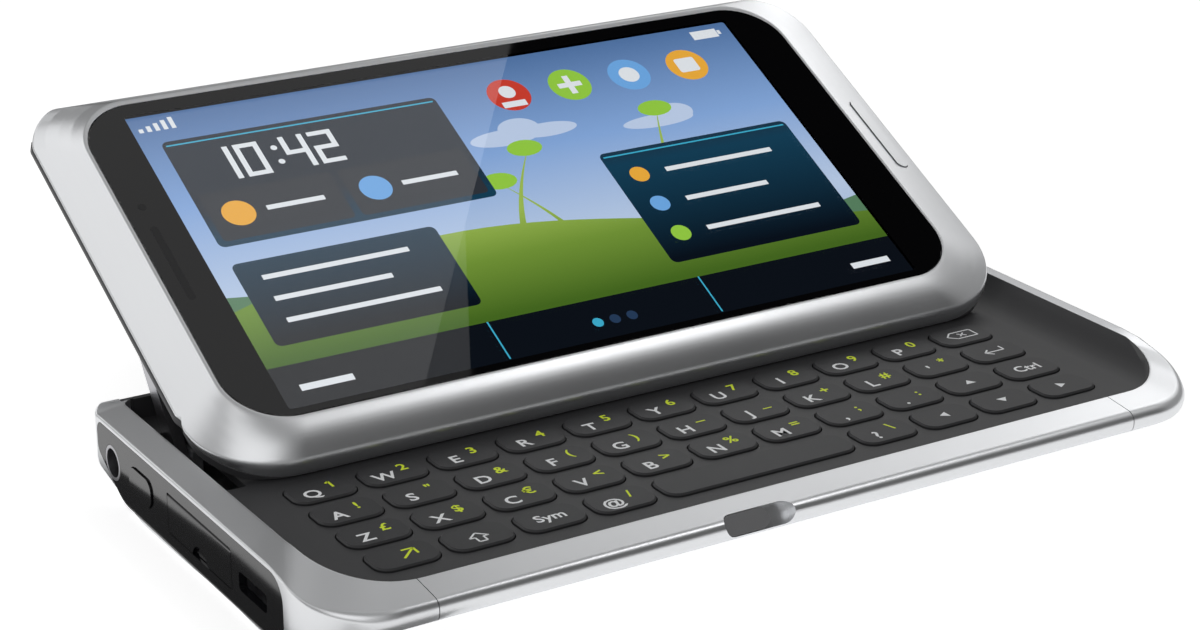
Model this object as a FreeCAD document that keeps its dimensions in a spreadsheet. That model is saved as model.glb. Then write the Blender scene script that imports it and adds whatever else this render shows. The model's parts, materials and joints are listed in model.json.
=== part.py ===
"""Side-sliding keyboard phone, open: keyboard base, two lift arms and a tilted display half.

Frame: millimetres. The origin is on the flat underside, at the centre of the base. +X runs along the
phone's length, towards the right of its keyboard, +Y away from the user, +Z up.
"""

import FreeCAD, Part
import math
import os
import re

import Sketcher
from FreeCAD import Placement, Rotation, Vector

doc = FreeCAD.newDocument("slider_phone")
sizes = doc.addObject("Spreadsheet::Sheet", "Sizes")

DRIVING = [
    # base, outside
    ("bodyLength", 123.7, "length of the base"),
    ("bodyWidth", 62.4, "width of the base and of the display half"),
    ("deckHeight", 7.6, "key plane above the table"),
    ("rimHeight", 2.7, "end and back rims above the key plane"),
    ("bellyInset", 8.5, "edge of the flat underside, in from the long sides"),
    ("bellyRound", 7.0, "rounding of that edge"),
    ("waistHeight", 4.9, "lower corner of the widest line"),
    ("shoulderHeight", 7.0, "upper corner of the front edge"),
    ("sideRound", 1.4, "rounding of the front and back edges"),
    ("frontBand", 5.1, "bare band between the front edge and the keyboard deck"),
    ("rimRun", 9.1, "run over which the end rims fade out at the front"),
    ("rimFade", 4.0, "rounding where they reach their full height"),
    ("rimRound", 0.4, "rounding of the left ridge and the back rim"),
    ("leftEdge", 1.7, "sharp edge of the left end above the key plane"),
    ("leftRim", 3.45, "width of the left rim"),
    ("rightRim", 2.65, "width of the right rim"),
    ("rightCrown", 1.9, "rounding of the right rim"),
    ("rightTuck", 4.5, "how far and how high the right end curves in underneath"),
    ("rightRound", 3.2, "rounding of the right end"),
    ("footRound", 1.0, "rounding under the left end"),
    ("backRim", 0.9, "thickness of the back rim"),
    ("rimFoot", 0.2, "foot of the back rim on the key plane"),
    ("frontCorner", 9.5, "plan radius of the front corners"),
    ("backCorner", 1.0, "plan radius of the back corners"),
    ("seamInset", 13.6, "each end cap seam, in from its end"),
    ("seamGap", 0.1, "gap in each seam"),
    # base, inside
    ("shellWall", 1.0, "floor of the base shells"),
    ("noseWall", 2.0, "front and back walls at the widest line"),
    ("ledge", 0.8, "shelf that carries the rim of the deck"),
    ("fitGap", 0.05, "gap round pieces fixed to each other"),
    ("bossRadius", 1.5, "screw bosses under the deck"),
    ("screwRadius", 0.7, "shank of the case screws"),
    ("screwHead", 1.3, "head radius of the case screws"),
    ("screwLength", 4.2, "shank length of the case screws"),
    ("headThickness", 0.5, "head thickness of the case screws"),
    ("headDepth", 0.15, "screw heads in from the underside"),
    ("hexRadius", 0.55, "drive socket in the screw heads"),
    ("socketDepth", 0.3, "depth of the drive socket"),
    # keyboard
    ("deckThickness", 1.0, "plate of the keyboard deck"),
    ("deckLeftCorner", 11.0, "front left plan radius of the deck"),
    ("deckRightCorner", 7.5, "front right plan radius of the deck"),
    ("deckBackCorner", 1.5, "back plan radii of the deck"),
    ("scoopWidth", 6.2, "width of the hollow curve up to the right rim"),
    ("scoopDip", 0.02, "how far the curve's lowest line lies under the key plane"),
    ("rowMargin", 15.773, "deck beyond the two ends of a row, together"),
    ("rowPitch", 6.689, "spacing of the rows"),
    ("keyboardShift", -0.85, "middle of the keyboard from the middle of the base"),
    ("frontRow", 5.363, "middle of the front row of keys, in from the front edge of the deck"),
    ("keySpacing", 1.207, "between two caps of a row"),
    ("keyWidth", 5.45, "key cap across the row"),
    ("keyCorner", 1.9, "plan corners of a key cap"),
    ("keyRaise", 0.35, "key caps above the deck"),
    ("keyEdge", 0.2, "bevel of a cap's top edge"),
    ("keyGap", 0.15, "gap between a cap and its window"),
    ("keyFlange", 0.35, "retaining flange beyond the cap"),
    ("flangeThickness", 0.4, "thickness of that flange"),
    ("keySeat", 0.1, "flange below the deck plate"),
    ("keyTravel", 0.3, "travel of a key"),
    # circuit board and what is soldered to it, battery
    ("boardThickness", 0.9, "circuit board"),
    ("domeThickness", 0.2, "key dome sheet on the board"),
    ("boardRightInset", 11.65, "right edge of the board, in from the right end"),
    ("boardLeftInset", 8.85, "left edge of the board, in from the left end"),
    ("boardBeyond", 3.87, "back edge of the board, behind the middle of the back row"),
    ("boardFrontInset", 6.8, "front edge of the board, in from the front edge"),
    ("postRadius", 1.5, "posts that carry the board"),
    ("batteryLength", 60.0, "battery along the phone"),
    ("batteryClear", 0.4, "between the board and the battery"),
    ("batteryThickness", 4.0, "battery"),
    ("batteryInset", 10.3, "back edge of the battery, in from the back edge"),
    ("batteryEdge", 0.4, "bevel of its upper edges"),
    ("batteryStart", 14.25, "left end of the battery, from the left seam"),
    ("cameraInset", 5.25, "rear camera, from the left seam"),
    ("cameraY", -10.0, "rear camera"),
    ("cameraSize", 8.5, "rear camera module"),
    ("lensRadius", 3.1, "barrel of the rear camera"),
    ("speakerInset", 10.25, "loudspeaker, from the right seam"),
    ("speakerY", -14.0, "loudspeaker"),
    ("speakerLength", 16.0, "loudspeaker"),
    ("speakerWidth", 11.0, "loudspeaker"),
    ("speakerThickness", 2.6, "loudspeaker"),
    ("shieldLength", 30.0, "shield can"),
    ("shieldWidth", 18.0, "shield can"),
    ("shieldThickness", 1.4, "shield can"),
    # left end
    ("panelFrontInset", 9.7, "front end of the port panel, in from the front edge"),
    ("panelBackInset", 1.2, "back end of the port panel, in from the back edge"),
    ("panelBottom", 0.55, "lower edge of the port panel"),
    ("panelTop", 8.8, "upper edge of the port panel"),
    ("panelNose", 3.0, "front corners of the port panel"),
    ("panelHeel", 1.5, "upper back corner of the port panel"),
    ("panelThickness", 0.9, "port panel"),
    ("jackInset", 5.7, "audio socket, in from the back edge"),
    ("jackHeight", 4.75, "audio socket"),
    ("jackBore", 1.8, "radius of the audio socket's bore"),
    ("jackOuter", 2.2, "outer radius of the audio socket"),
    ("jackDepth", 14.0, "depth of the audio socket"),
    ("jackEnd", 1.0, "closed end of the audio socket"),
    ("powerSpacing", 8.7, "power button, in front of the audio socket"),
    ("powerHeight", 4.9, "power button"),
    ("powerLength", 6.4, "power button"),
    ("powerWidth", 3.6, "power button"),
    ("powerCorner", 1.5, "corners of the power button"),
    ("powerRaise", 0.2, "power button beyond the panel"),
    ("powerTravel", 0.3, "travel of the power button"),
    ("buttonFlange", 0.3, "retaining flange round the buttons"),
    ("buttonThickness", 0.5, "thickness of the flange of a button"),
    ("buttonGap", 0.12, "gap round buttons and covers"),
    ("doorFront", 8.3, "front end of the video port cover, from the middle"),
    ("doorBack", 9.0, "back end of the video port cover"),
    ("doorBottom", 2.3, "lower edge of the video port cover"),
    ("doorTop", 7.2, "upper edge of the video port cover"),
    ("doorThickness", 0.8, "video port cover"),
    ("hingeRadius", 0.45, "barrel of the cover's hinge"),
    ("hingePin", 0.2, "pin stubs of the cover's hinge"),
    ("hingeStub", 0.8, "length of the pin stubs"),
    ("pinGap", 0.05, "radial running gap of every pin"),
    ("nailNotch", 2.2, "fingernail notch in the cover"),
    ("videoLength", 10.8, "video socket"),
    ("videoHeight", 3.2, "video socket"),
    ("socketWall", 0.35, "shell of the video and data sockets"),
    ("dataShift", 1.05, "data socket, behind the middle between the panel end and the port cover"),
    ("dataHeight", 4.3, "data socket"),
    ("dataLength", 7.8, "data socket"),
    ("dataThickness", 3.0, "data socket"),
    # edges
    ("lockX", -7.1, "middle of the lock slide's slot"),
    ("lockInset", 0.3, "middle of the slot, in from the front edge"),
    ("lockHeight", 6.6, "middle of the slot, above the table"),
    ("lockLean", 55.0, "slope of the slot's face"),
    ("lockSlot", 9.6, "length of the slot"),
    ("lockWidth", 2.7, "height of the slot"),
    ("lockKnob", 6.2, "length of the knob"),
    ("lockTravel", 2.5, "travel of the lock slide"),
    ("lockDepth", 1.5, "floor of the slot"),
    ("lockRecess", 0.5, "face of the knob in from the slot's middle"),
    ("lockStem", 2.0, "length of the knob's stem"),
    ("stemReach", 3.4, "end of the stem, in from the slot's middle"),
    ("stemHeight", 0.9, "height of the stems"),
    ("volumeX", -20.0, "middle of the volume slide"),
    ("volumeHeight", 5.9, "middle of the volume slide"),
    ("volumeSlot", 13.6, "length of its slot"),
    ("volumeWidth", 2.4, "height of its slot"),
    ("volumeKnob", 11.4, "length of its knob"),
    ("volumeTravel", 0.8, "travel each way"),
    ("volumeDepth", 1.0, "floor of its slot, in from the back edge"),
    # display half
    ("tilt", 27.08, "tilt of the open display"),
    ("displayForward", 8.77, "lower edge of the open picture, from the middle of the base"),
    ("displayLift", 14.7, "lower edge of the open picture, above the table"),
    ("closedThickness", 13.6, "thickness of the closed phone"),
    ("displayLeftInset", 4.15, "left edge of the display half, in from the left end"),
    ("displayRightInset", 3.35, "right edge of the display half, in from the right end"),
    ("displayFront", 7.0, "lower edge of the display half, below the picture"),
    ("displayThickness", 5.3, "display half"),
    ("frontBelow", 4.3, "lower corner of the near edge, below the glass"),
    ("frontAbove", 2.2, "upper corner of the near edge, below the glass"),
    ("nearRound", 1.5, "rounding of the near edge"),
    ("browRound", 6.0, "rounding between the glass and the near edge"),
    ("farAbove", 0.9, "upper corner of the far edge, below the glass"),
    ("farBelow", 2.9, "lower corner of the far edge, below the glass"),
    ("farInset", 1.5, "belly of the display half, in from the far edge"),
    ("leftFall", 4.5, "fall of the left slope"),
    ("chinFall", 1.9, "fall of the right chin"),
    ("chinEdge", 0.5, "thickness of the right edge"),
    ("bellyInsetRight", 6.8, "right edge of the belly, in from the right edge"),
    ("nearCorner", 11.0, "plan radius of the near corners"),
    ("farLeftCorner", 3.5, "plan radius of the far left corner"),
    ("farRightCorner", 7.5, "plan radius of the far right corner"),
    ("leftSlope", 4.95, "left edge of the glass, in from the left edge"),
    ("rightSlope", 6.65, "right edge of the glass, in from the right edge"),
    ("glassNear", 1.65, "near edge of the glass, below the picture"),
    ("farSlope", 2.2, "far edge of the glass, in from the far edge"),
    ("glassCorner", 7.5, "corners of the glass"),
    ("glassThickness", 0.9, "cover glass"),
    ("glassLip", 0.4, "flat lip of the frame round the glass"),
    ("farLip", 1.0, "flat lip beyond the far edge of the glass"),
    ("panelShift", -0.85, "middle of the picture from the middle of the base"),
    ("pictureLength", 91.4, "display panel"),
    ("pictureNear", 0.7, "near edge of the display panel, below the picture"),
    ("pictureMargin", 2.0, "far edge of the display panel, in from the far edge of the glass"),
    ("pictureThickness", 1.7, "display panel"),
    ("backPlate", 1.0, "back cover of the display half"),
    ("reliefSide", 0.2, "gap beside the left rim when closed"),
    ("reliefTop", 0.12, "gap above the left rim when closed"),
    ("menuInset", 3.0, "menu key, in from the right edge"),
    ("menuNear", 18.1, "near end of the menu key"),
    ("menuFar", 31.8, "far end of the menu key"),
    ("menuWidth", 2.0, "menu key"),
    ("menuRaise", 0.25, "menu key above the chin"),
    ("menuDepth", 2.0, "foot of the menu key, below the glass"),
    ("menuTravel", 0.25, "travel of the menu key"),
    ("menuSeat", 0.1, "gap left under the pressed menu key"),
    # lift arms
    ("pivotHeight", 5.4, "arm pivots in the base"),
    ("leftArmInset", 3.37, "left arm, in from the left end of the deck"),
    ("rightArm", 32.3, "right arm"),
    ("armThickness", 1.4, "thickness of an arm"),
    ("armGap", 0.25, "gap beside an arm"),
    ("armHalf", 1.0, "half the depth of an arm"),
    ("baseEye", 1.5, "eye at the base pivot"),
    ("pinEye", 1.15, "eye at the display pivot"),
    ("basePin", 0.7, "pin at the base pivot"),
    ("displayPin", 0.6, "pin at the display pivot"),
    ("earThickness", 1.3, "bearing ears in the base"),
    ("pinReach", 1.8, "bores of the display pivots, to each side of an arm's middle"),
    ("kneeAlong", 14.3, "knee of an arm, from the base pivot"),
    ("kneeOffset", 0.9, "knee of an arm, beside the line between the pivots"),
    ("pinAlong", 25.0, "display pivots above the near edge of the picture"),
    ("pinDepth", 4.3, "display pivots below the glass"),
    ("grooveNear", 21.2, "near end of the arm grooves"),
    ("grooveFar", 39.8, "far end of the arm grooves"),
    ("grooveDepth", 2.95, "roof of the arm grooves, below the glass"),
    ("slotWidth", 2.75, "arm slots in the deck"),
    ("slotAhead", 4.4, "front end of the arm slots, behind the closed display pivots"),
    ("slotBehind", 3.53, "back end of the arm slots, behind the base pivots"),
]

DERIVED = [
    ("deckBottom", "deckHeight - deckThickness"),
    ("rimTop", "deckHeight + rimHeight"),
    ("halfLength", "bodyLength / 2"),
    ("halfWidth", "bodyWidth / 2"),
    ("leftSeam", "seamInset - halfLength"),
    ("rightSeam", "halfLength - seamInset"),
    ("deckLeft", "-halfLength + leftRim"),
    ("deckRight", "halfLength - rightRim"),
    ("deckFront", "-halfWidth + frontBand"),
    ("deckBack", "halfWidth - backRim"),
    ("firstRow", "deckFront + frontRow + 3 * rowPitch"),
    ("keyPitch", "(deckRight - deckLeft - rowMargin) / 11"),
    ("keyLength", "keyPitch - keySpacing"),
    ("flangeTop", "deckBottom - keySeat"),
    ("flangeBottom", "flangeTop - flangeThickness"),
    ("domeTop", "flangeBottom - keyTravel - keySeat"),
    ("boardTop", "domeTop - domeThickness"),
    ("boardBottom", "boardTop - boardThickness"),
    ("boardRight", "halfLength - boardRightInset"),
    ("boardLeft", "halfLength - boardLeftInset"),
    ("boardBack", "firstRow + boardBeyond"),
    ("boardFront", "halfWidth - boardFrontInset"),
    ("cameraX", "leftSeam + cameraInset"),
    ("speakerX", "rightSeam - speakerInset"),
    ("batteryShift", "leftSeam + batteryStart + batteryLength / 2"),
    ("batteryBack", "halfWidth - batteryInset"),
    ("batteryWidth", "batteryBack - boardBack - batteryClear"),
    ("panelFront", "halfWidth - panelFrontInset"),
    ("panelBack", "halfWidth - panelBackInset"),
    ("jackY", "halfWidth - jackInset"),
    ("powerY", "jackY - powerSpacing"),
    ("dataY", "dataShift - (panelFront + doorFront) / 2"),
    ("lockForward", "halfWidth - lockInset"),
    ("leftArm", "deckLeft + leftArmInset"),
    ("panelInside", "-halfLength + panelThickness"),
    ("hingeX", "-halfLength + hingeRadius"),
    ("hingeZ", "doorTop - hingeRadius"),
    ("scoopRadius", "(scoopWidth * scoopWidth + rimHeight * rimHeight) / (2 * rimHeight)"),
    ("closedForward", "-halfWidth + displayFront"),
    ("displayFar", "bodyWidth - displayFront"),
    ("displayLeft", "halfLength - displayLeftInset"),
    ("displayRight", "halfLength - displayRightInset"),
    ("bellyRight", "displayRight - bellyInsetRight"),
    ("glassLeft", "displayLeft - leftSlope"),
    ("glassRight", "displayRight - rightSlope"),
    ("glassFar", "displayFar - farSlope"),
    ("pictureFar", "glassFar - pictureMargin"),
    ("menuX", "displayRight - menuInset"),
    ("chinStart", "glassRight + glassLip"),
    ("chinWidth", "displayRight - chinStart"),
    ("openPinY", "displayForward + pinAlong * cos(tilt) + pinDepth * sin(tilt)"),
    ("openPinZ", "displayLift + pinAlong * sin(tilt) - pinDepth * cos(tilt)"),
    ("closedPinY", "closedForward + pinAlong"),
    ("closedPinZ", "closedThickness - pinDepth"),
    (
        "pivotY",
        "(openPinY + closedPinY) / 2 + ((openPinZ + closedPinZ) / 2 - pivotHeight)"
        " * (openPinZ - closedPinZ) / (openPinY - closedPinY)",
    ),
    ("slotFront", "closedPinY + slotAhead"),
    ("slotBack", "pivotY + slotBehind"),
    ("armLength", "sqrt((openPinY - pivotY)^2 + (openPinZ - pivotHeight)^2)"),
    ("armLean", "(openPinY - pivotY) / armLength"),
    ("armAngle", "acos(armLean) / 1deg"),
]

for row, (alias, number, meaning) in enumerate(DRIVING, 1):
    sizes.set(f"A{row}", meaning)
    sizes.set(f"B{row}", str(number))
    sizes.setAlias(f"B{row}", alias)
for row, (alias, formula) in enumerate(DERIVED, 1):
    sizes.set(f"D{row}", "=" + formula)
    sizes.setAlias(f"D{row}", alias)
doc.recompute()

ALIASES = {entry[0] for entry in DRIVING + DERIVED}


def bound(expression):
    """The expression with each alias read from the sheet."""
    return re.sub(
        r"[A-Za-z]+",
        lambda word: "Sizes." + word.group(0) if word.group(0) in ALIASES else word.group(0),
        str(expression),
    )


def size(expression):
    """Present value of an expression."""
    result = sizes.evalExpression(bound(expression))
    return float(getattr(result, "Value", result))


def bind(thing, **settings):
    """Bind properties to expressions. A dot in a property's path is written as two underscores."""
    for path, expression in settings.items():
        thing.setExpression(path.replace("__", "."), bound(expression))
    return thing


def place(thing, x="0", y="0", z="0", axis=None, angle="0"):
    """Put a thing at a bound position, turned by a bound angle about an axis."""
    turned = Rotation(axis, size(angle)) if axis is not None else Rotation()
    thing.Placement = Placement(Vector(size(x), size(y), size(z)), turned)
    bind(thing, Placement__Base__x=x, Placement__Base__y=y, Placement__Base__z=z)
    if axis is not None:
        bind(thing, Placement__Rotation__Angle=angle)
    return thing


# ---------------------------------------------------------------- outlines

PLANES = {
    "XY": Rotation(),
    "XZ": Rotation(Vector(1, 0, 0), 90),
    "YZ": Rotation(Vector(1, 1, 1), 120),
}


def rounded_outline(sketch, corners):
    """Draw a closed outline through corners (across, up, radius), each radius a tangent arc."""
    points = [tuple(size(part) for part in corner) for corner in corners]
    count = len(points)
    arcs, arrive, leave = [None] * count, [], []
    for i, (across, up, radius) in enumerate(points):
        here = Vector(across, up, 0)
        back = Vector(*points[i - 1][:2], 0) - here
        ahead = Vector(*points[(i + 1) % count][:2], 0) - here
        back.normalize()
        ahead.normalize()
        first, last = here, here
        if radius > 0:
            half = back.getAngle(ahead) / 2
            run = radius / math.tan(half)
            first, last = here + back * run, here + ahead * run
            inward = back + ahead
            inward.normalize()
            centre = here + inward * (radius / math.sin(half))
            arcs[i] = (centre, first, last, back.cross(ahead).z < 0)
        arrive.append(first)
        leave.append(last)
    lines = []
    for i in range(count):
        line = Part.LineSegment(leave[i], arrive[(i + 1) % count])
        lines.append(sketch.addGeometry(line, False))

    def constrain(*terms, expression=None):
        index = sketch.addConstraint(Sketcher.Constraint(*terms))
        if expression is not None:
            sketch.setExpression(f"Constraints[{index}]", bound(expression))

    for i, (across, up, radius) in enumerate(corners):
        before, after = lines[i - 1], lines[i]
        if arcs[i] is None:
            corner = after
            constrain("Coincident", before, 2, after, 1)
        else:
            centre, first, last, left_turn = arcs[i]
            if not left_turn:
                first, last = last, first
            spread = [math.atan2(end.y - centre.y, end.x - centre.x) for end in (first, last)]
            circle = Part.Circle(centre, Vector(0, 0, 1), points[i][2])
            arc = sketch.addGeometry(Part.ArcOfCircle(circle, *spread), False)
            corner = sketch.addGeometry(Part.Point(Vector(*points[i][:2], 0)), True)
            near, far = (1, 2) if left_turn else (2, 1)
            constrain("Tangent", before, 2, arc, near)
            constrain("Tangent", after, 1, arc, far)
            constrain("PointOnObject", corner, 1, before)
            constrain("PointOnObject", corner, 1, after)
            constrain("Radius", arc, points[i][2], expression=radius)
        constrain("DistanceX", -1, 1, corner, 1, points[i][0], expression=across)
        constrain("DistanceY", -1, 1, corner, 1, points[i][1], expression=up)


def circle_outline(sketch, circles):
    """Draw circles (across, up, radius)."""
    for across, up, radius in circles:
        centre = Vector(size(across), size(up), 0)
        ring = sketch.addGeometry(Part.Circle(centre, Vector(0, 0, 1), size(radius)), False)
        for kind, ends, value, expression in (
            ("Radius", (ring,), size(radius), radius),
            ("DistanceX", (-1, 1, ring, 3), centre.x, across),
            ("DistanceY", (-1, 1, ring, 3), centre.y, up),
        ):
            index = sketch.addConstraint(Sketcher.Constraint(kind, *ends, value))
            sketch.setExpression(f"Constraints[{index}]", bound(expression))


def rectangle(left, right, low, high, *radii):
    """Corners of a rounded rectangle, from the low left one round. One radius serves all four."""
    radii = radii * 4 if len(radii) == 1 else radii or ("0",) * 4
    spots = ((left, low), (right, low), (right, high), (left, high))
    return [(*spot, radius) for spot, radius in zip(spots, radii)]


# ---------------------------------------------------------------- free solids and booleans


def prism(name, plane, corners, start, end):
    """Extrude an outline from start to end along the normal of its plane.

    The plane is one through the origin, by name, or the place and turn of a leaning one.
    """
    sketch = doc.addObject("Sketcher::SketchObject", name + "_outline")
    if isinstance(plane, str):
        sketch.Placement = Placement(Vector(), PLANES[plane])
    else:
        place(sketch, *plane)
    rounded_outline(sketch, corners)
    block = doc.addObject("Part::Extrusion", name)
    block.Base = sketch
    block.DirMode = "Normal"
    block.Solid = True
    return bind(block, LengthFwd=end, LengthRev=f"-({start})")


def box(name, left, right, front, back, low, high):
    block = doc.addObject("Part::Box", name)
    bind(block, Length=f"({right}) - ({left})", Width=f"({back}) - ({front})")
    bind(block, Height=f"({high}) - ({low})")
    return place(block, left, front, low)


def rod(name, radius, length, x, y, z, axis=None, angle="0"):
    """A cylinder that starts at a point and runs up, or the way up is turned to."""
    bar = doc.addObject("Part::Cylinder", name)
    bind(bar, Radius=radius, Height=length)
    return place(bar, x, y, z, axis, angle)


def rod_along_x(name, radius, left, right, y, z):
    return rod(name, radius, f"({right}) - ({left})", left, y, z, Vector(0, 1, 0), "90")


def gather(kind, name, things):
    """Join things in one boolean or compound, or give back the only one."""
    if len(things) == 1:
        return things[0]
    joined = doc.addObject(kind, name)
    setattr(joined, "Links" if kind == "Part::Compound" else "Shapes", list(things))
    return joined


def fuse(name, *things):
    return gather("Part::MultiFuse", name, things)


def common(name, *things):
    return gather("Part::MultiCommon", name, things)


def cut(name, base, *tools):
    result = doc.addObject("Part::Cut", name)
    result.Base = base
    result.Tool = fuse(name + "_tools", *tools)
    return result


# ---------------------------------------------------------------- bodies


def new_body(name):
    body = doc.addObject("PartDesign::Body", name)
    body.Label = name
    return body


def body_sketch(body, name, plane, draw, outline, height="0"):
    """A sketch on one of the body's own planes, raised along the plane's normal."""
    sketch = body.newObject("Sketcher::SketchObject", name)
    origin = [part for part in body.Origin.OriginFeatures if part.Role == plane + "_Plane"]
    sketch.AttachmentSupport = (origin[0], [""])
    sketch.MapMode = "FlatFace"
    bind(sketch, AttachmentOffset__Base__z=height)
    draw(sketch, outline)
    return sketch


def pad(body, name, plane, outline, length, height="0", down=False, centred=False, draw=rounded_outline):
    feature = body.newObject("PartDesign::Pad", name)
    feature.Profile = body_sketch(body, name + "_outline", plane, draw, outline, height)
    feature.Reversed = down
    feature.Midplane = centred
    return bind(feature, Length=length)


def pocket(body, name, plane, outline, length, height="0", up=False, centred=False, draw=rounded_outline):
    """Cut against the plane's normal, or along it with up."""
    feature = body.newObject("PartDesign::Pocket", name)
    feature.Profile = body_sketch(body, name + "_outline", plane, draw, outline, height)
    feature.Reversed = up
    feature.Midplane = centred
    return bind(feature, Length=length)


def edge_names(shape, wanted):
    return [f"Edge{i}" for i, edge in enumerate(shape.Edges, 1) if wanted(edge)]


def bevel_edges(body, name, base, width, wanted):
    """Bevel the edges of a finished feature that pass a test."""
    bevel = body.newObject("PartDesign::Chamfer", name)
    bevel.Base = (base, edge_names(base.Shape, wanted))
    return bind(bevel, Size=width)


def at_height(height):
    level = size(height)
    return lambda edge: all(abs(point.Z - level) < 1e-6 for point in edge.Vertexes)


def stadium(left, right, middle, width):
    """Corners of a bar with nearly round ends."""
    half = f"({width}) / 2"
    return rectangle(left, right, f"{middle} - {half}", f"{middle} + {half}", f"{half} * 0.96")


nodes = []


def keep(thing, name):
    """Give a finished sub-part its name."""
    thing.Label = name
    nodes.append(thing)
    return thing


# ---------------------------------------------------------------- base shells

FAR = "200"  # longer than anything here

outer = common(
    "base_block",
    prism(
        "base_side",
        "YZ",
        [
            ("-halfWidth + bellyInset", "0", "bellyRound"),
            ("halfWidth - bellyInset", "0", "bellyRound"),
            ("halfWidth", "waistHeight", "sideRound"),
            ("halfWidth", "rimTop", "rimRound"),
            ("deckFront + rimRun", "rimTop", "rimFade"),
            ("deckFront", "deckHeight", "0"),
            ("-halfWidth", "shoulderHeight", "sideRound"),
            ("-halfWidth", "waistHeight", "sideRound"),
        ],
        "-halfLength",
        "halfLength",
    ),
    prism(
        "base_front",
        "XZ",
        [
            ("-halfLength", "0", "footRound"),
            ("halfLength - rightTuck", "0", "rightRound"),
            ("halfLength", "rightTuck", "rightRound"),
            ("halfLength", "rimTop", "rightCrown"),
            ("deckLeft - rimRound / 2", "rimTop", "rimRound"),
            ("-halfLength", "deckHeight + leftEdge", "rimRound"),
        ],
        "-halfWidth",
        "halfWidth",
    ),
    prism(
        "base_plan",
        "XY",
        rectangle(
            "-halfLength", "halfLength", "-halfWidth", "halfWidth",
            "frontCorner", "frontCorner", "backCorner", "backCorner",
        ),
        "0",
        "rimTop",
    ),
)

cavity = common(
    "base_cavity",
    prism(
        "cavity_side",
        "YZ",
        [
            ("-halfWidth + bellyInset + shellWall / 3", "shellWall", "bellyRound - shellWall"),
            ("halfWidth - bellyInset - shellWall / 3", "shellWall", "bellyRound - shellWall"),
            ("halfWidth - noseWall", "waistHeight", "0"),
            ("halfWidth - noseWall", "deckBottom", "0"),
            ("deckFront + ledge", "deckBottom", "0"),
            ("-halfWidth + noseWall", "waistHeight", "0"),
        ],
        "-halfLength",
        "halfLength",
    ),
    prism(
        "cavity_plan",
        "XY",
        rectangle(
            "deckLeft + ledge", "deckRight - ledge", "-halfWidth + noseWall", "halfWidth - noseWall",
            "deckLeftCorner", "deckRightCorner", "deckBackCorner", "deckBackCorner",
        ),
        "shellWall",
        "deckBottom",
    ),
)


def deck_outline(gap="0"):
    return rectangle(
        f"deckLeft - {gap}", f"deckRight + {gap}", f"deckFront - {gap}", f"deckBack + {gap}",
        "deckLeftCorner", "deckRightCorner", "deckBackCorner", "deckBackCorner",
    )


deck_recess = prism("deck_recess", "XY", deck_outline("fitGap"), "deckBottom", "rimTop + 1")
back_notch = box(
    "back_notch", "deckLeft - fitGap", "deckRight + fitGap", "deckBack", "halfWidth + 1",
    "deckHeight - fitGap", "rimTop + 1",
)
shells = cut("base_shells", outer, cavity, deck_recess, back_notch)

# (x, y) of each screw
SCREWS = [
    ("leftSeam + 7.25", "8"), ("leftSeam + 7.25", "19"), ("rightSeam - 6.25", "8"), ("rightSeam - 6.25", "19"),
    ("deckRight - 4.5", "-16"), ("deckLeft + 5", "-19.4"),
]
screw_ways = []
for number, (x, y) in enumerate(SCREWS, 1):
    screw_ways.append(rod(f"screw_way_{number}", "screwRadius + fitGap", "shellWall + 1", x, y, "0"))
    screw_ways.append(
        rod(f"screw_sink_{number}", "screwHead + fitGap", "headDepth + headThickness + fitGap", x, y, "0")
    )


def bearing(side, arm):
    """Two ears that carry one arm's pivot, with the pin's bore."""
    half = "armThickness / 2 + armGap"
    ears = []
    for end, (left, right) in enumerate(
        (
            (f"{arm} - ({half}) - earThickness", f"{arm} - ({half})"),
            (f"{arm} + {half}", f"{arm} + {half} + earThickness"),
        )
    ):
        ears.append(
            box(
                f"{side}_ear_{end}", left, right, "pivotY - baseEye", "pivotY + baseEye",
                "shellWall", "pivotHeight + 1.1",
            )
        )
    bore = rod_along_x(
        f"{side}_pin_bore", "basePin + pinGap", f"{arm} - 4", f"{arm} + 4", "pivotY", "pivotHeight"
    )
    return ears, bore


jack_way = rod_along_x(
    "jack_way", "jackOuter + fitGap", "-halfLength - 1", "-halfLength + jackDepth + 2", "jackY", "jackHeight"
)
left_ears, left_bore = bearing("left", "leftArm")
right_ears, right_bore = bearing("right", "rightArm")

# posts under the circuit board
POSTS = [
    ("leftSeam + 2.25", "-21"), ("rightSeam - 2.25", "-21"), ("leftSeam + 12.25", "0"), ("rightSeam - 2.25", "0"),
]
posts = [
    rod(f"board_post_{number}", "postRadius", "boardBottom - shellWall", x, y, "shellWall")
    for number, (x, y) in enumerate(POSTS, 1)
]


LOCK_FACE = ("lockX", "-lockForward", "lockHeight", Vector(1, 0, 0), "lockLean")
LOCK_LEFT = "-lockSlot / 2 + buttonGap"


def lock_stem_outline(gap, travel):
    middle = f"{LOCK_LEFT} + lockKnob / 2"
    return rectangle(
        f"{middle} - lockStem / 2 - {gap}", f"{middle} + lockStem / 2 + {gap} + {travel}",
        f"-stemHeight / 2 - {gap}", f"stemHeight / 2 + {gap}",
    )


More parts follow.
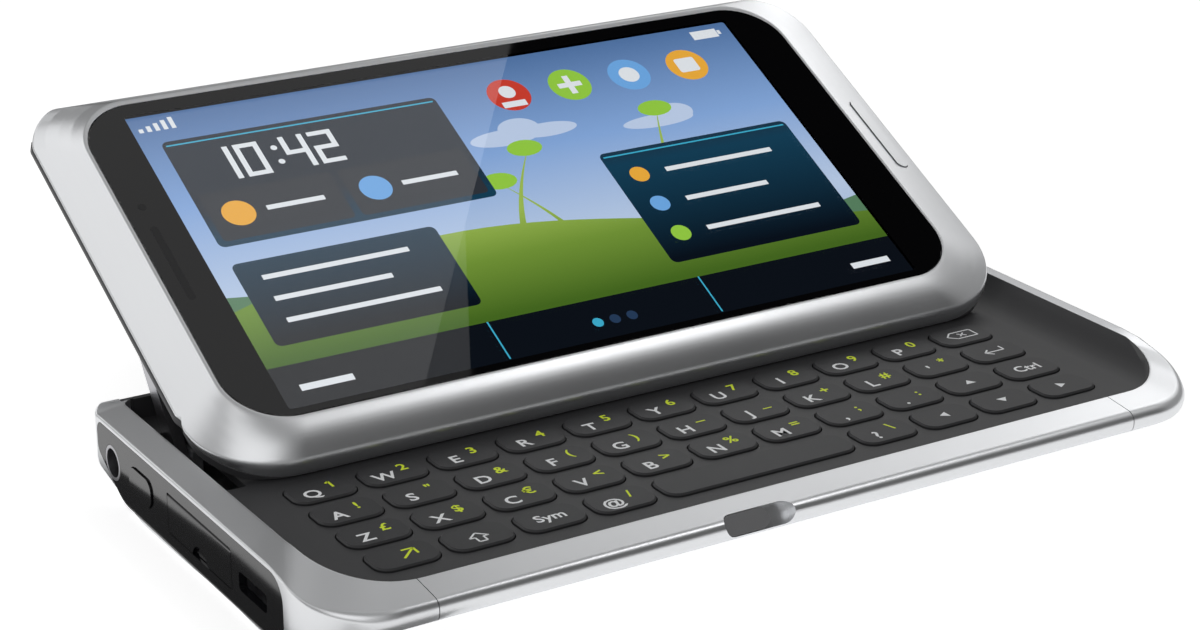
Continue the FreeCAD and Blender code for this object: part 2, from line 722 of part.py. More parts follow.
def rear_cover():
    slab = box(
        "cover_slab", "leftSeam + seamGap / 2", "rightSeam - seamGap / 2",
        "-halfWidth", "halfWidth", "0", "rimTop",
    )
    shell = fuse("cover_shell", common("cover_part", shells, slab), *right_ears, *posts)
    lock_slot = prism(
        "lock_slot", LOCK_FACE, stadium("-lockSlot / 2", "lockSlot / 2", "0", "lockWidth"), "-lockDepth", "2"
    )
    lock_slit = prism(
        "lock_slit", LOCK_FACE, lock_stem_outline("buttonGap", "lockTravel"), "-stemReach", "-lockDepth + 0.1"
    )
    volume_slot = prism(
        "volume_slot", "XZ",
        stadium("volumeX - volumeSlot / 2", "volumeX + volumeSlot / 2", "volumeHeight", "volumeWidth"),
        "-halfWidth - 1", "-halfWidth + volumeDepth",
    )
    volume_slit = box(
        "volume_slit", "volumeX - volumeKnob / 4 - volumeTravel - buttonGap",
        "volumeX + volumeKnob / 4 + volumeTravel + buttonGap",
        "halfWidth - noseWall - 0.1", "halfWidth - volumeDepth + 0.1",
        "volumeHeight - stemHeight / 2 - buttonGap", "volumeHeight + stemHeight / 2 + buttonGap",
    )
    camera_window = rod("camera_window", "lensRadius + fitGap", "shellWall + 1", "cameraX", "cameraY", "-0.5")
    sound_holes = [
        rod(f"sound_hole_{i}", "0.4", "shellWall + 1", f"speakerX + {1.6 * (i - 3)}", "speakerY", "-0.5")
        for i in range(7)
    ]
    cover = cut(
        "rear_cover", shell, lock_slot, lock_slit, volume_slot, volume_slit, camera_window, right_bore, jack_way,
        *sound_holes, *screw_ways,
    )
    return keep(cover, "rear_cover")


def socket_way(name, middle_y, length, middle_z, height, gap="fitGap"):
    """Passage for a socket through the left end's wall."""
    return box(
        name, "-halfLength - 1", "deckLeft + ledge + 0.1",
        f"{middle_y} - ({length}) / 2 - {gap}", f"{middle_y} + ({length}) / 2 + {gap}",
        f"{middle_z} - ({height}) / 2 - {gap}", f"{middle_z} + ({height}) / 2 + {gap}",
    )


def panel_outline(grow):
    """The end's own outline, drawn in."""
    return [
        (f"-panelFront - {grow}", f"panelBottom - {grow}", "panelNose"),
        (f"halfWidth - bellyInset - {grow} / 4", f"panelBottom - {grow}", "bellyRound"),
        (f"panelBack + {grow}", f"waistHeight - {grow} / 2", "panelHeel"),
        (f"panelBack + {grow}", f"panelTop + {grow}", "panelHeel"),
        (f"-panelFront - {grow}", f"panelTop + {grow}", "panelNose"),
    ]


DOOR_MIDDLE = "(doorBack - doorFront) / 2"
VIDEO_MIDDLE = "(doorTop + doorBottom) / 2"


def left_end_cap():
    slab = box("left_slab", "-halfLength", "leftSeam - seamGap / 2", "-halfWidth", "halfWidth", "0", "rimTop")
    shell = fuse("left_shell", common("left_part", shells, slab), *left_ears)
    panel_seat = prism(
        "panel_seat", "YZ",
        panel_outline("fitGap"),
        "-halfLength - 1", "panelInside + fitGap",
    )
    power_well = box(
        "power_well", "-halfLength", "panelInside + buttonThickness + powerTravel + 0.3",
        "powerY - powerLength / 2 - 0.5", "powerY + powerLength / 2 + 0.5",
        "powerHeight - powerWidth / 2 - 0.5", "powerHeight + powerWidth / 2 + 0.5",
    )
    video_way = socket_way("video_way", DOOR_MIDDLE, "videoLength", VIDEO_MIDDLE, "videoHeight")
    data_way = socket_way("data_way", "dataY", "dataLength", "dataHeight", "dataThickness")
    return keep(
        cut(
            "left_end_cap", shell, panel_seat, jack_way, power_well, video_way, data_way, left_bore, *screw_ways
        ),
        "left_end_cap",
    )


def right_end_cap():
    slab = box("right_slab", "rightSeam + seamGap / 2", "halfLength", "-halfWidth", "halfWidth", "0", "rimTop")
    return keep(cut("right_end_cap", common("right_part", shells, slab), *screw_ways), "right_end_cap")


def case_screws():
    """Six alike screws: a flat head with a drive socket and a plain shank."""
    screws = []
    for number, (x, y) in enumerate(SCREWS, 1):
        screw = new_body(f"screw_{number}")
        pad(
            screw, f"screw_{number}_head", "XY", [("0", "0", "screwHead")], "headThickness",
            draw=circle_outline,
        )
        pad(
            screw, f"screw_{number}_shank", "XY", [("0", "0", "screwRadius")], "screwLength",
            height="headThickness", draw=circle_outline,
        )
        pocket(
            screw, f"screw_{number}_drive", "XY", [("0", "0", "hexRadius")], "socketDepth",
            up=True, draw=circle_outline,
        )
        screws.append(place(screw, x, y, "headDepth"))
    return keep(gather("Part::Compound", "case_screws", screws), "case_screws")


# ---------------------------------------------------------------- keyboard

# rows from the back: (name of each key, columns that it spans)
ROWS = [
    [(name, 1) for name in "q w e r t y u i o p backspace".split()],
    [(name, 1) for name in "a s d f g h j k l apostrophe enter".split()],
    [(name, 1) for name in "z x c v b n m comma period up ctrl".split()],
    [("fn", 1), ("shift", 1), ("sym", 1), ("at", 1), ("space", 3), ("question", 1)]
    + [("left", 1), ("down", 1), ("right", 1)],
]
COLUMNS = 11


def key_places():
    """(name, middle x, middle y, length) of each key."""
    for row, keys in enumerate(ROWS):
        column = 0
        for name, span in keys:
            steps = column + span / 2 - COLUMNS / 2
            yield (
                "key_" + name,
                f"keyboardShift + {steps} * keyPitch",
                f"firstRow - {row} * rowPitch",
                f"keyLength + {span - 1} * keyPitch",
            )
            column += span


def key_outline(length, grow, middle_x="0", middle_y="0"):
    return rectangle(
        f"{middle_x} - ({length}) / 2 - {grow}", f"{middle_x} + ({length}) / 2 + {grow}",
        f"{middle_y} - keyWidth / 2 - {grow}", f"{middle_y} + keyWidth / 2 + {grow}",
        f"keyCorner + {grow}",
    )


def arm_slots():
    return [
        box(
            f"{side}_arm_slot", f"{arm} - slotWidth / 2", f"{arm} + slotWidth / 2", "slotFront", "slotBack",
            "deckBottom - 1", "deckHeight + 1",
        )
        for side, arm in (("left", "leftArm"), ("right", "rightArm"))
    ]


def keyboard_deck():
    plate = prism("deck_plate", "XY", deck_outline(), "deckBottom", "deckHeight")
    wall = common(
        "deck_wall",
        outer,
        box("deck_wall_box", "deckLeft", "deckRight", "deckBack", "halfWidth", "deckHeight", "rimTop"),
    )
    foot = box(
        "deck_wall_foot", "deckLeft + deckBackCorner", "deckRight - deckBackCorner", "deckBack - rimFoot",
        "deckBack + rimFoot / 2", "deckHeight - rimFoot", "rimTop",
    )
    wedge = cut(
        "scoop_wedge",
        box("scoop_box", "deckRight - scoopWidth", "deckRight", "deckFront", "deckBack", "deckHeight - 0.2", "rimTop"),
        rod(
            "scoop_round", "scoopRadius", "bodyWidth", "deckRight - scoopWidth", "halfWidth",
            "deckHeight + scoopRadius - scoopDip", Vector(1, 0, 0), "90",
        ),
    )
    trim = prism("scoop_trim", "XY", deck_outline(), "deckBottom", "rimTop")
    scoop = common("deck_scoop", wedge, trim, outer)
    bosses = [
        rod(f"boss_{number}", "bossRadius", "deckBottom - shellWall", x, y, "shellWall")
        for number, (x, y) in enumerate(SCREWS, 1)
    ]
    threads = [
        rod(
            f"thread_{number}", "screwRadius + fitGap", "screwLength + headDepth + headThickness + 0.3", x, y, "0"
        )
        for number, (x, y) in enumerate(SCREWS, 1)
    ]
    windows = [
        prism(f"{name}_window", "XY", key_outline(length, "keyGap", x, y), "deckBottom - 1", "deckHeight + 1")
        for name, x, y, length in key_places()
    ]
    solid = fuse("deck_solid", plate, wall, foot, scoop, *bosses)
    deck = cut("keyboard_deck", solid, *windows, *arm_slots(), *threads, jack_way)
    return keep(deck, "keyboard_deck")


def keys():
    """Each key: a cap through its window and a flange that holds it under the deck."""
    caps = []
    for name, x, y, length in key_places():
        key = new_body(name)
        pad(key, name + "_flange", "XY", key_outline(length, "keyFlange"), "flangeThickness", down=True)
        cap = pad(key, name + "_cap", "XY", key_outline(length, "0"), "keySeat + deckThickness + keyRaise")
        place(key, x, y, "flangeTop")
        caps.append((key, name, cap))
    doc.recompute()
    for key, name, cap in caps:
        bevel_edges(key, name + "_edge", cap, "keyEdge", at_height("keySeat + deckThickness + keyRaise"))
        keep(key, name)


# ---------------------------------------------------------------- inside the base


def socket_shell(name, middle_y, length, middle_z, height):
    """An open-ended metal shell with a contact tongue."""
    front, back = f"{middle_y} - ({length}) / 2", f"{middle_y} + ({length}) / 2"
    low, high = f"{middle_z} - ({height}) / 2", f"{middle_z} + ({height}) / 2"
    mouth = "panelInside + 2 * fitGap"
    rear = "-boardLeft"
    hollow = cut(
        name + "_hollow",
        box(name + "_block", mouth, rear, front, back, low, high),
        box(
            name + "_mouth", f"({mouth}) - 1", f"({rear}) - 1", f"{front} + socketWall",
            f"{back} - socketWall", f"{low} + socketWall", f"{high} - socketWall",
        ),
    )
    tongue = box(
        name + "_tongue", f"({mouth}) + 1", f"({rear}) - 0.9", f"{front} + 1.6", f"{back} - 1.6",
        f"{middle_z} - 0.3", f"{middle_z} + 0.3",
    )
    return fuse(name, hollow, tongue)


def main_board():
    """The circuit board with the key dome sheet, sockets, shield can, camera and loudspeaker on it."""
    board = box("board_plate", "-boardLeft", "boardRight", "-boardFront", "boardBack", "boardBottom", "boardTop")
    notch = box("board_notch", "-boardLeft - 1", "-boardLeft + 4.5", "-boardFront - 1", "-17.6", "0", "deckBottom")
    board = cut("board", board, notch)
    domes = box("dome_sheet", "-boardLeft + 5.5", "boardRight - 0.2", "-boardFront + 0.2", "boardBack - 0.2", "boardTop", "domeTop")
    shield = box(
        "shield_can", "-shieldLength / 2", "shieldLength / 2", "-shieldWidth", "0",
        "boardBottom - shieldThickness", "boardBottom",
    )
    camera = fuse(
        "camera",
        box(
            "camera_block", "cameraX - cameraSize / 2", "cameraX + cameraSize / 2",
            "cameraY - cameraSize / 2", "cameraY + cameraSize / 2", "shellWall + fitGap", "boardBottom",
        ),
        rod("camera_barrel", "lensRadius", "shellWall", "cameraX", "cameraY", "0.2"),
    )
    speaker = box(
        "loudspeaker", "speakerX - speakerLength / 2", "speakerX + speakerLength / 2",
        "speakerY - speakerWidth / 2", "speakerY + speakerWidth / 2",
        "boardBottom - speakerThickness", "boardBottom",
    )
    video = socket_shell("video_socket", DOOR_MIDDLE, "videoLength", VIDEO_MIDDLE, "videoHeight")
    data = socket_shell("data_socket", "dataY", "dataLength", "dataHeight", "dataThickness")
    jack = cut(
        "audio_socket",
        rod_along_x(
            "jack_block", "jackOuter", "-halfLength", "-halfLength + jackDepth + jackEnd", "jackY", "jackHeight"
        ),
        rod_along_x("jack_bore", "jackBore", "-halfLength - 1", "-halfLength + jackDepth", "jackY", "jackHeight"),
    )
    parts = [board, domes, shield, camera, speaker, video, data, jack]
    return keep(gather("Part::Compound", "main_board", parts), "main_board")


def battery():
    cell = new_body("battery")
    block = pad(
        cell, "battery_block", "XY",
        rectangle(
            "batteryShift - batteryLength / 2", "batteryShift + batteryLength / 2",
            "batteryBack - batteryWidth", "batteryBack", "1.5",
        ),
        "batteryThickness", height="shellWall + fitGap",
    )
    doc.recompute()
    bevel_edges(
        cell, "battery_edge", block, "batteryEdge", at_height("shellWall + fitGap + batteryThickness")
    )
    return keep(cell, "battery")


# ---------------------------------------------------------------- left end


def power_outline(grow):
    return rectangle(
        f"powerY - powerLength / 2 - {grow}", f"powerY + powerLength / 2 + {grow}",
        f"powerHeight - powerWidth / 2 - {grow}", f"powerHeight + powerWidth / 2 + {grow}",
        f"powerCorner + {grow}",
    )


def port_panel():
    """Thin plate on the left end, pierced for the sockets, the button and the cover."""
    panel = new_body("port_panel")
    pad(
        panel, "panel_plate", "YZ",
        panel_outline("0"),
        "panelThickness", height="-halfLength",
    )
    for name, outline in (
        ("panel_power", power_outline("buttonGap")),
        (
            "panel_door",
            rectangle(
                "-doorFront - buttonGap", "doorBack + buttonGap", "doorBottom - buttonGap",
                "doorTop + buttonGap", "0.3",
            ),
        ),
        (
            "panel_data",
            rectangle(
                "dataY - dataLength / 2 + socketWall", "dataY + dataLength / 2 - socketWall",
                "dataHeight - dataThickness / 2 + socketWall", "dataHeight + dataThickness / 2 - socketWall",
                "0.5",
            ),
        ),
    ):
        pocket(panel, name, "YZ", outline, "panelThickness + 1", height="-halfLength - 0.5", up=True)
    pocket(
        panel, "panel_jack", "YZ", [("jackY", "jackHeight", "jackOuter + fitGap")], "panelThickness + 1",
        height="-halfLength - 0.5", up=True, draw=circle_outline,
    )
    pocket(
        panel, "panel_hinge", "XZ", [("hingeX", "hingeZ", "hingePin + pinGap")],
        "doorBack + doorFront + 2 * hingeStub + 2 * pinGap",
        height="doorFront + hingeStub + pinGap", draw=circle_outline,
    ).Reversed = False
    return keep(panel, "port_panel")


def power_button():
    button = new_body("power_button")
    pad(
        button, "power_cap", "YZ", power_outline("0"), "panelThickness + powerRaise + fitGap + 0.1",
        height="-halfLength - powerRaise",
    )
    pad(
        button, "power_flange", "YZ", power_outline("buttonFlange"), "buttonThickness",
        height="panelInside + fitGap + 0.05",
    )
    return keep(button, "power_button")


def hdmi_cover():
    """Flap over the video socket, hinged along its upper edge."""
    flap = cut(
        "flap",
        fuse(
            "flap_solid",
            box(
                "flap_plate", "-halfLength", "-halfLength + doorThickness", "-doorFront", "doorBack",
                "doorBottom", "hingeZ",
            ),
            rod(
                "flap_barrel", "hingeRadius", "doorFront + doorBack", "hingeX", "doorBack", "hingeZ",
                Vector(1, 0, 0), "90",
            ),
            rod(
                "flap_pin", "hingePin", "doorFront + doorBack + 2 * hingeStub", "hingeX",
                "doorBack + hingeStub", "hingeZ", Vector(1, 0, 0), "90",
            ),
        ),
        rod(
            "flap_notch", "nailNotch", "0.4", "-halfLength - 0.01", DOOR_MIDDLE, "doorBottom - nailNotch / 3",
            Vector(0, 1, 0), "90",
        ),
    )
    return keep(flap, "hdmi_cover")


# ---------------------------------------------------------------- slides in the long edges


def lock_slider():
    knob = prism(
        "lock_knob", LOCK_FACE,
        stadium(LOCK_LEFT, f"{LOCK_LEFT} + lockKnob", "0", "lockWidth - 2 * buttonGap"),
        "-lockDepth + buttonGap", "-lockRecess",
    )
    stem = prism(
        "lock_stem", LOCK_FACE, lock_stem_outline("0", "0"), "-stemReach", "-lockDepth + buttonGap + 0.1"
    )
    return keep(fuse("lock_slider", knob, stem), "lock_slider")


def volume_key():
    knob = common(
        "volume_knob",
        prism(
            "volume_bar", "XZ",
            stadium(
                "volumeX - volumeKnob / 2", "volumeX + volumeKnob / 2", "volumeHeight",
                "volumeWidth - 2 * buttonGap",
            ),
            "-halfWidth", "-halfWidth + volumeDepth - buttonGap",
        ),
        outer,
    )
    stem = box(
        "volume_stem", "volumeX - volumeKnob / 4", "volumeX + volumeKnob / 4", "halfWidth - noseWall",
        "halfWidth - volumeDepth + buttonGap + 0.2", "volumeHeight - stemHeight / 2", "volumeHeight + stemHeight / 2",
    )
    return keep(fuse("volume_key", knob, stem), "volume_key")


# ---------------------------------------------------------------- display half
# Its own frame: X along the phone, Y up the picture from its near edge, Z out of the glass.


def open_display(thing):
    """Raise and tilt a finished piece of the display half to where it stands open."""
    return place(thing, "0", "displayForward", "displayLift", Vector(1, 0, 0), "tilt")


display_block = common(
    "display_block",
    prism(
        "display_front", "XZ",
        [
            ("-displayLeft", "-displayThickness", "0.3"),
            ("bellyRight", "-displayThickness", "3"),
            ("displayRight", "-chinFall - chinEdge", "0.3"),
            ("displayRight", "-chinFall", "0.3"),
            ("chinStart", "0", "1"),
            ("-glassLeft - glassLip", "0", "0.5"),
            ("-displayLeft", "-leftFall", "0.3"),
        ],
        "-displayFar", "displayFront",
    ),
    prism(
        "display_side", "YZ",
        [
            ("-displayFront + 2", "-displayThickness", "1"),
            ("displayFar - farInset - 0.4", "-displayThickness", "0.3"),
            ("displayFar - farInset", "-farBelow", "0"),
            ("displayFar", "-farBelow", "0.2"),
            ("displayFar", "-farAbove", "0.5"),
            ("glassFar + farLip", "0", "0.5"),
            ("-glassNear - glassLip", "0", "browRound"),
            ("-displayFront", "-frontAbove", "nearRound"),
            ("-displayFront", "-frontBelow", "nearRound / 2"),
        ],
        "-displayLeft", "displayRight",
    ),
    prism(
        "display_plan", "XY",
        rectangle(
            "-displayLeft", "displayRight", "-displayFront", "displayFar",
            "nearCorner", "nearCorner", "farRightCorner", "farLeftCorner",
        ),
        "-displayThickness", "0",
    ),
)


def glass_outline(grow):
    return rectangle(
        f"-glassLeft - {grow}", f"glassRight + {grow}", f"-glassNear - {grow}", f"glassFar + {grow}",
        f"glassCorner + {grow}",
    )


def picture_outline(grow):
    return rectangle(
        f"panelShift - pictureLength / 2 - {grow}", f"panelShift + pictureLength / 2 + {grow}",
        f"-pictureNear - {grow}", f"pictureFar + {grow}", f"0.5 + {grow}",
    )


def menu_outline(grow):
    return rectangle(
        f"menuX - menuWidth / 2 - {grow}", f"menuX + menuWidth / 2 + {grow}",
        f"menuNear - {grow}", f"menuFar + {grow}", f"(menuWidth / 2 + {grow}) * 0.96",
    )


def arm_grooves(prefix):
    half = "armThickness / 2 + armGap"
    return [
        box(
            f"{prefix}_{side}_groove", f"{arm} - ({half})", f"{arm} + {half}", "grooveNear", "grooveFar",
            "-displayThickness - 1", "-grooveDepth",
        )
        for side, arm in (("left", "leftArm"), ("right", "rightArm"))
    ]


def pin_bores(prefix):
    return [
        rod_along_x(
            f"{prefix}_{side}_bore", "displayPin + pinGap", f"{arm} - pinReach", f"{arm} + pinReach",
            "pinAlong", "-pinDepth",
        )
        for side, arm in (("left", "leftArm"), ("right", "rightArm"))
    ]


def rim_relief(prefix):
    """What the left rim's front end needs under the closed display half."""
    front, full = "deckFront - closedForward", "deckFront + rimRun - closedForward"
    rise = "deckHeight - closedThickness + reliefTop"
    wedge = prism(
        f"{prefix}_relief_wedge", "YZ",
        [
            (front, "-displayThickness - 2", "0"),
            (f"{full} + 2", "-displayThickness - 2", "0"),
            (f"{full} + 2", f"{rise} + rimHeight", "0"),
            (full, f"{rise} + rimHeight", "0"),
            (front, rise, "0"),
        ],
        "-displayLeft - 1", "deckLeft + deckLeftCorner",
    )
    clear = rod(
        f"{prefix}_relief_round", "deckLeftCorner - reliefSide", "2 * displayThickness", "deckLeft + deckLeftCorner",
        f"{front} + deckLeftCorner", "-1.5 * displayThickness",
    )
    return cut(f"{prefix}_relief", wedge, clear)


def display_frame():
    """The silver surround: seats for the glass, the panel and the menu key."""
    ring = common(
        "frame_ring",
        display_block,
        box(
            "frame_slab", "-displayLeft", "displayRight", "-displayFront", "displayFar",
            "-displayThickness + backPlate", "0",
        ),
    )
    seat = prism("glass_seat", "XY", glass_outline("fitGap"), "-glassThickness", "1")
    opening = prism("picture_opening", "XY", picture_outline("0.2"), "-displayThickness", "-glassThickness + 0.1")
    menu_well = prism("menu_well", "XY", menu_outline("buttonGap"), "-menuDepth - menuTravel - menuSeat", "1")
    frame = cut(
        "display_frame", ring, seat, opening, menu_well, rim_relief("frame"), *arm_grooves("frame"),
        *pin_bores("frame"),
    )
    return keep(open_display(frame), "display_frame")


def display_back():
    """The dark back cover, with a bearing block inside it for the right arm."""
    plate = common(
        "back_plate",
        display_block,
        box(
            "back_slab", "-displayLeft", "displayRight", "-displayFront", "displayFar", "-displayThickness",
            "-displayThickness + backPlate",
        ),
    )
    block = box(
        "back_bearing", "rightArm - 2.2", "rightArm + 2.2", "pinAlong - 2", "pinAlong + 2",
        "-displayThickness + backPlate / 2", "-grooveDepth + 0.05",
    )
    back = cut(
        "display_back", fuse("back_solid", plate, block), rim_relief("back"), *arm_grooves("back"),
        *pin_bores("back"),
    )
    return keep(open_display(back), "display_back")


def cover_glass():
    glass = new_body("cover_glass")
    pad(glass, "glass_plate", "XY", glass_outline("0"), "glassThickness", down=True)
    return keep(open_display(glass), "cover_glass")


def display_panel():
    panel = new_body("display_panel")
    pad(
        panel, "picture_plate", "XY", picture_outline("0"), "pictureThickness", height="-glassThickness",
        down=True,
    )
    return keep(open_display(panel), "display_panel")


def menu_key():
    """A long key whose top follows the chin."""
    key = new_body("menu_key")
    pad(key, "menu_bar", "XY", menu_outline("0"), "menuDepth + 1", height="-menuDepth")
    slope = "chinFall / chinWidth"
    pocket(
        key, "menu_slope", "XZ",
        [
            ("chinStart - 3", f"menuRaise + 3 * {slope}", "0"),
            ("displayRight + 3", f"menuRaise - chinFall - 3 * {slope}", "0"),
            ("displayRight + 3", "4", "0"),
            ("chinStart - 3", "4", "0"),
        ],
        "2 * bodyWidth", centred=True,
    )
    return keep(open_display(key), "menu_key")


# ---------------------------------------------------------------- lift arms
# An arm's own frame: Y from the base pivot to the display pivot, X along both pins.


def lift_arms():
    arms = []
    for side, arm in (("left", "leftArm"), ("right", "rightArm")):
        link = new_body(f"{side}_link")
        pad(
            link, f"{side}_bar", "YZ",
            [
                ("-baseEye", "-baseEye", "baseEye * 0.96"),
                ("kneeAlong", "-kneeOffset - armHalf", "3"),
                ("armLength + pinEye", "-pinEye", "pinEye * 0.96"),
                ("armLength + pinEye", "pinEye", "pinEye * 0.96"),
                ("kneeAlong", "-kneeOffset + armHalf", "3"),
                ("-baseEye", "baseEye", "baseEye * 0.96"),
            ],
            "armThickness", centred=True,
        )
        pad(
            link, f"{side}_base_pin", "YZ", [("0", "0", "basePin")],
            "armThickness + 2 * armGap + 2 * earThickness", centred=True, draw=circle_outline,
        )
        pad(
            link, f"{side}_display_pin", "YZ", [("armLength", "0", "displayPin")], "2 * pinReach - 0.2",
            centred=True, draw=circle_outline,
        )
        arms.append(place(link, arm, "pivotY", "pivotHeight", Vector(1, 0, 0), "armAngle"))
    return keep(gather("Part::Compound", "lift_arms", arms), "lift_arms")


rear_cover()
left_end_cap()
right_end_cap()
case_screws()
keyboard_deck()
main_board()
battery()
port_panel()
power_button()
hdmi_cover()
lock_slider()
volume_key()
lift_arms()
display_frame()
display_back()
cover_glass()
display_panel()
menu_key()
keys()

doc.recompute()
failed = [thing.Name for thing in doc.Objects if {"Invalid", "Error"} & set(thing.State)]
if failed:
    raise SystemExit("not built: " + ", ".join(failed))
for node in nodes:
    if node.Shape.isNull() or not node.Shape.isValid() or not node.Shape.Solids:
        raise SystemExit("no valid solid in " + node.Label)

os.makedirs("parts", exist_ok=True)
for node in nodes:
    node.Shape.exportStep(f"parts/{node.Label}.step")
    print(node.Label, len(node.Shape.Solids), round(node.Shape.Volume, 2))
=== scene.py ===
# Slider phone: finishes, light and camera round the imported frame
import json
import math

import bmesh
import bpy
import numpy as np
from mathutils import Matrix, Vector

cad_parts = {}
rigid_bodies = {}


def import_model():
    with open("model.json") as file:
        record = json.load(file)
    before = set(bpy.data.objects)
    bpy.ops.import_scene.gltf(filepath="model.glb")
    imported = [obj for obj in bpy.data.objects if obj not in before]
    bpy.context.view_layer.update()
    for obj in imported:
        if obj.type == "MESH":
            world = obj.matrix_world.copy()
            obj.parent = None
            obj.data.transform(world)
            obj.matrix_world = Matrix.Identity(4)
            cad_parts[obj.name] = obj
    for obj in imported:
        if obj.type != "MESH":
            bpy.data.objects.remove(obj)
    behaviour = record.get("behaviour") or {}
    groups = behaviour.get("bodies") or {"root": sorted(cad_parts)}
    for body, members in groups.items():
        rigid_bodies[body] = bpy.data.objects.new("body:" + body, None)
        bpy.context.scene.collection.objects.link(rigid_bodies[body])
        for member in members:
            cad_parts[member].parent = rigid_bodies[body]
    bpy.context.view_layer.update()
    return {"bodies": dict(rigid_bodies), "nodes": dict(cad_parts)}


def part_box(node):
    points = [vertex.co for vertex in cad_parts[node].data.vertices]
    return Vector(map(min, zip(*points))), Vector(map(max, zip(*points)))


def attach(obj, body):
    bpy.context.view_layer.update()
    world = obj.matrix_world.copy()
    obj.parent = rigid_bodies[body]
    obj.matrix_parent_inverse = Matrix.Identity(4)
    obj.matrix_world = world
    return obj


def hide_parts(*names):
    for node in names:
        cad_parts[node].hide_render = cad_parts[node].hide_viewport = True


mm = 0.001
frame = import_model()
nodes = frame["nodes"]
bpy.context.view_layer.update()
print("frame loaded:", len(nodes), "nodes")


# shader helpers

class Socket:  # a node's output that takes part in plain arithmetic
    def __init__(self, tree, output):
        self.tree = tree
        self.output = output

    def maths(self, operation, *values):
        node = self.tree.nodes.new("ShaderNodeMath")
        node.operation = operation
        for slot, value in zip(node.inputs, values):
            if isinstance(value, Socket):
                self.tree.links.new(value.output, slot)
            else:
                slot.default_value = value
        return Socket(self.tree, node.outputs[0])

    def __add__(self, other):
        return self.maths("ADD", self, other)

    def __sub__(self, other):
        return self.maths("SUBTRACT", self, other)

    def __mul__(self, other):
        return self.maths("MULTIPLY", self, other)

    def __truediv__(self, other):
        return self.maths("DIVIDE", self, other)

    def __radd__(self, other):
        return self.maths("ADD", other, self)

    def __rsub__(self, other):
        return self.maths("SUBTRACT", other, self)

    def __rmul__(self, other):
        return self.maths("MULTIPLY", other, self)


def addNode(tree, kind, settings=None, inputs=None, output=0):
    # settings come first, then values or links by socket name or number
    node = tree.nodes.new(kind)
    for name, value in (settings or {}).items():
        if name == "stops":
            ramp = node.color_ramp
            while len(ramp.elements) < len(value):
                ramp.elements.new(0.5)
            for element, (place, colour) in zip(ramp.elements, value):
                element.position = place
                element.color = (*colour, 1)
        else:
            setattr(node, name, value)
    for name, value in (inputs or {}).items():
        slot = node.inputs[name]
        if isinstance(value, Socket):
            tree.links.new(value.output, slot)
        else:
            slot.default_value = value
    return Socket(tree, node.outputs[output])


def newMaterial(name, build=None, **values):
    material = bpy.data.materials.new(name)
    material.use_nodes = True
    principled = material.node_tree.nodes["Principled BSDF"]
    for key, value in values.items():
        slot = principled.inputs[key.replace("_", " ")]
        slot.default_value = (*value, 1) if isinstance(value, tuple) and len(value) == 3 else value
    if build:
        for socket, source in build(material.node_tree).items():
            material.node_tree.links.new(source.output, principled.inputs[socket])
    return material


def objectCoords(tree):
    return addNode(tree, "ShaderNodeTexCoord", output=3)


def grain(tree, scale, detail):
    # noise about zero, in cycles a millimetre
    mapped = addNode(tree, "ShaderNodeMapping", {}, {0: objectCoords(tree), 3: (1 / mm,) * 3})
    noise = addNode(tree, "ShaderNodeTexNoise", {}, {"Vector": mapped, "Scale": scale, "Detail": detail})
    return noise - 0.5


def bumpFrom(tree, height, distance, strength):
    return addNode(tree, "ShaderNodeBump", {}, {"Height": height, "Distance": distance, "Strength": strength})


# materials

# fine and broad are a noise's scale and detail, bump its height in metres and its strength
satin = {"base": (0.74, 0.75, 0.765), "roughness": 0.33, "speckle": 0.05, "drift": 0.04,
         "fine": (5.0, 3.0), "broad": (0.08, 1.0), "bump": (0.000012, 0.35)}
matte = {"fine": (9.0, 3.0), "bump": (0.00002, 0.5)}


def satinSurface(tree):
    fine = grain(tree, *satin["fine"])
    broad = grain(tree, *satin["broad"])
    return {"Roughness": satin["roughness"] + satin["speckle"] * fine + satin["drift"] * broad,
            "Normal": bumpFrom(tree, fine, *satin["bump"])}


def matteSurface(roughness, spread):
    def build(tree):
        fine = grain(tree, *matte["fine"])
        return {"Roughness": roughness + spread * fine, "Normal": bumpFrom(tree, fine, *matte["bump"])}
    return build


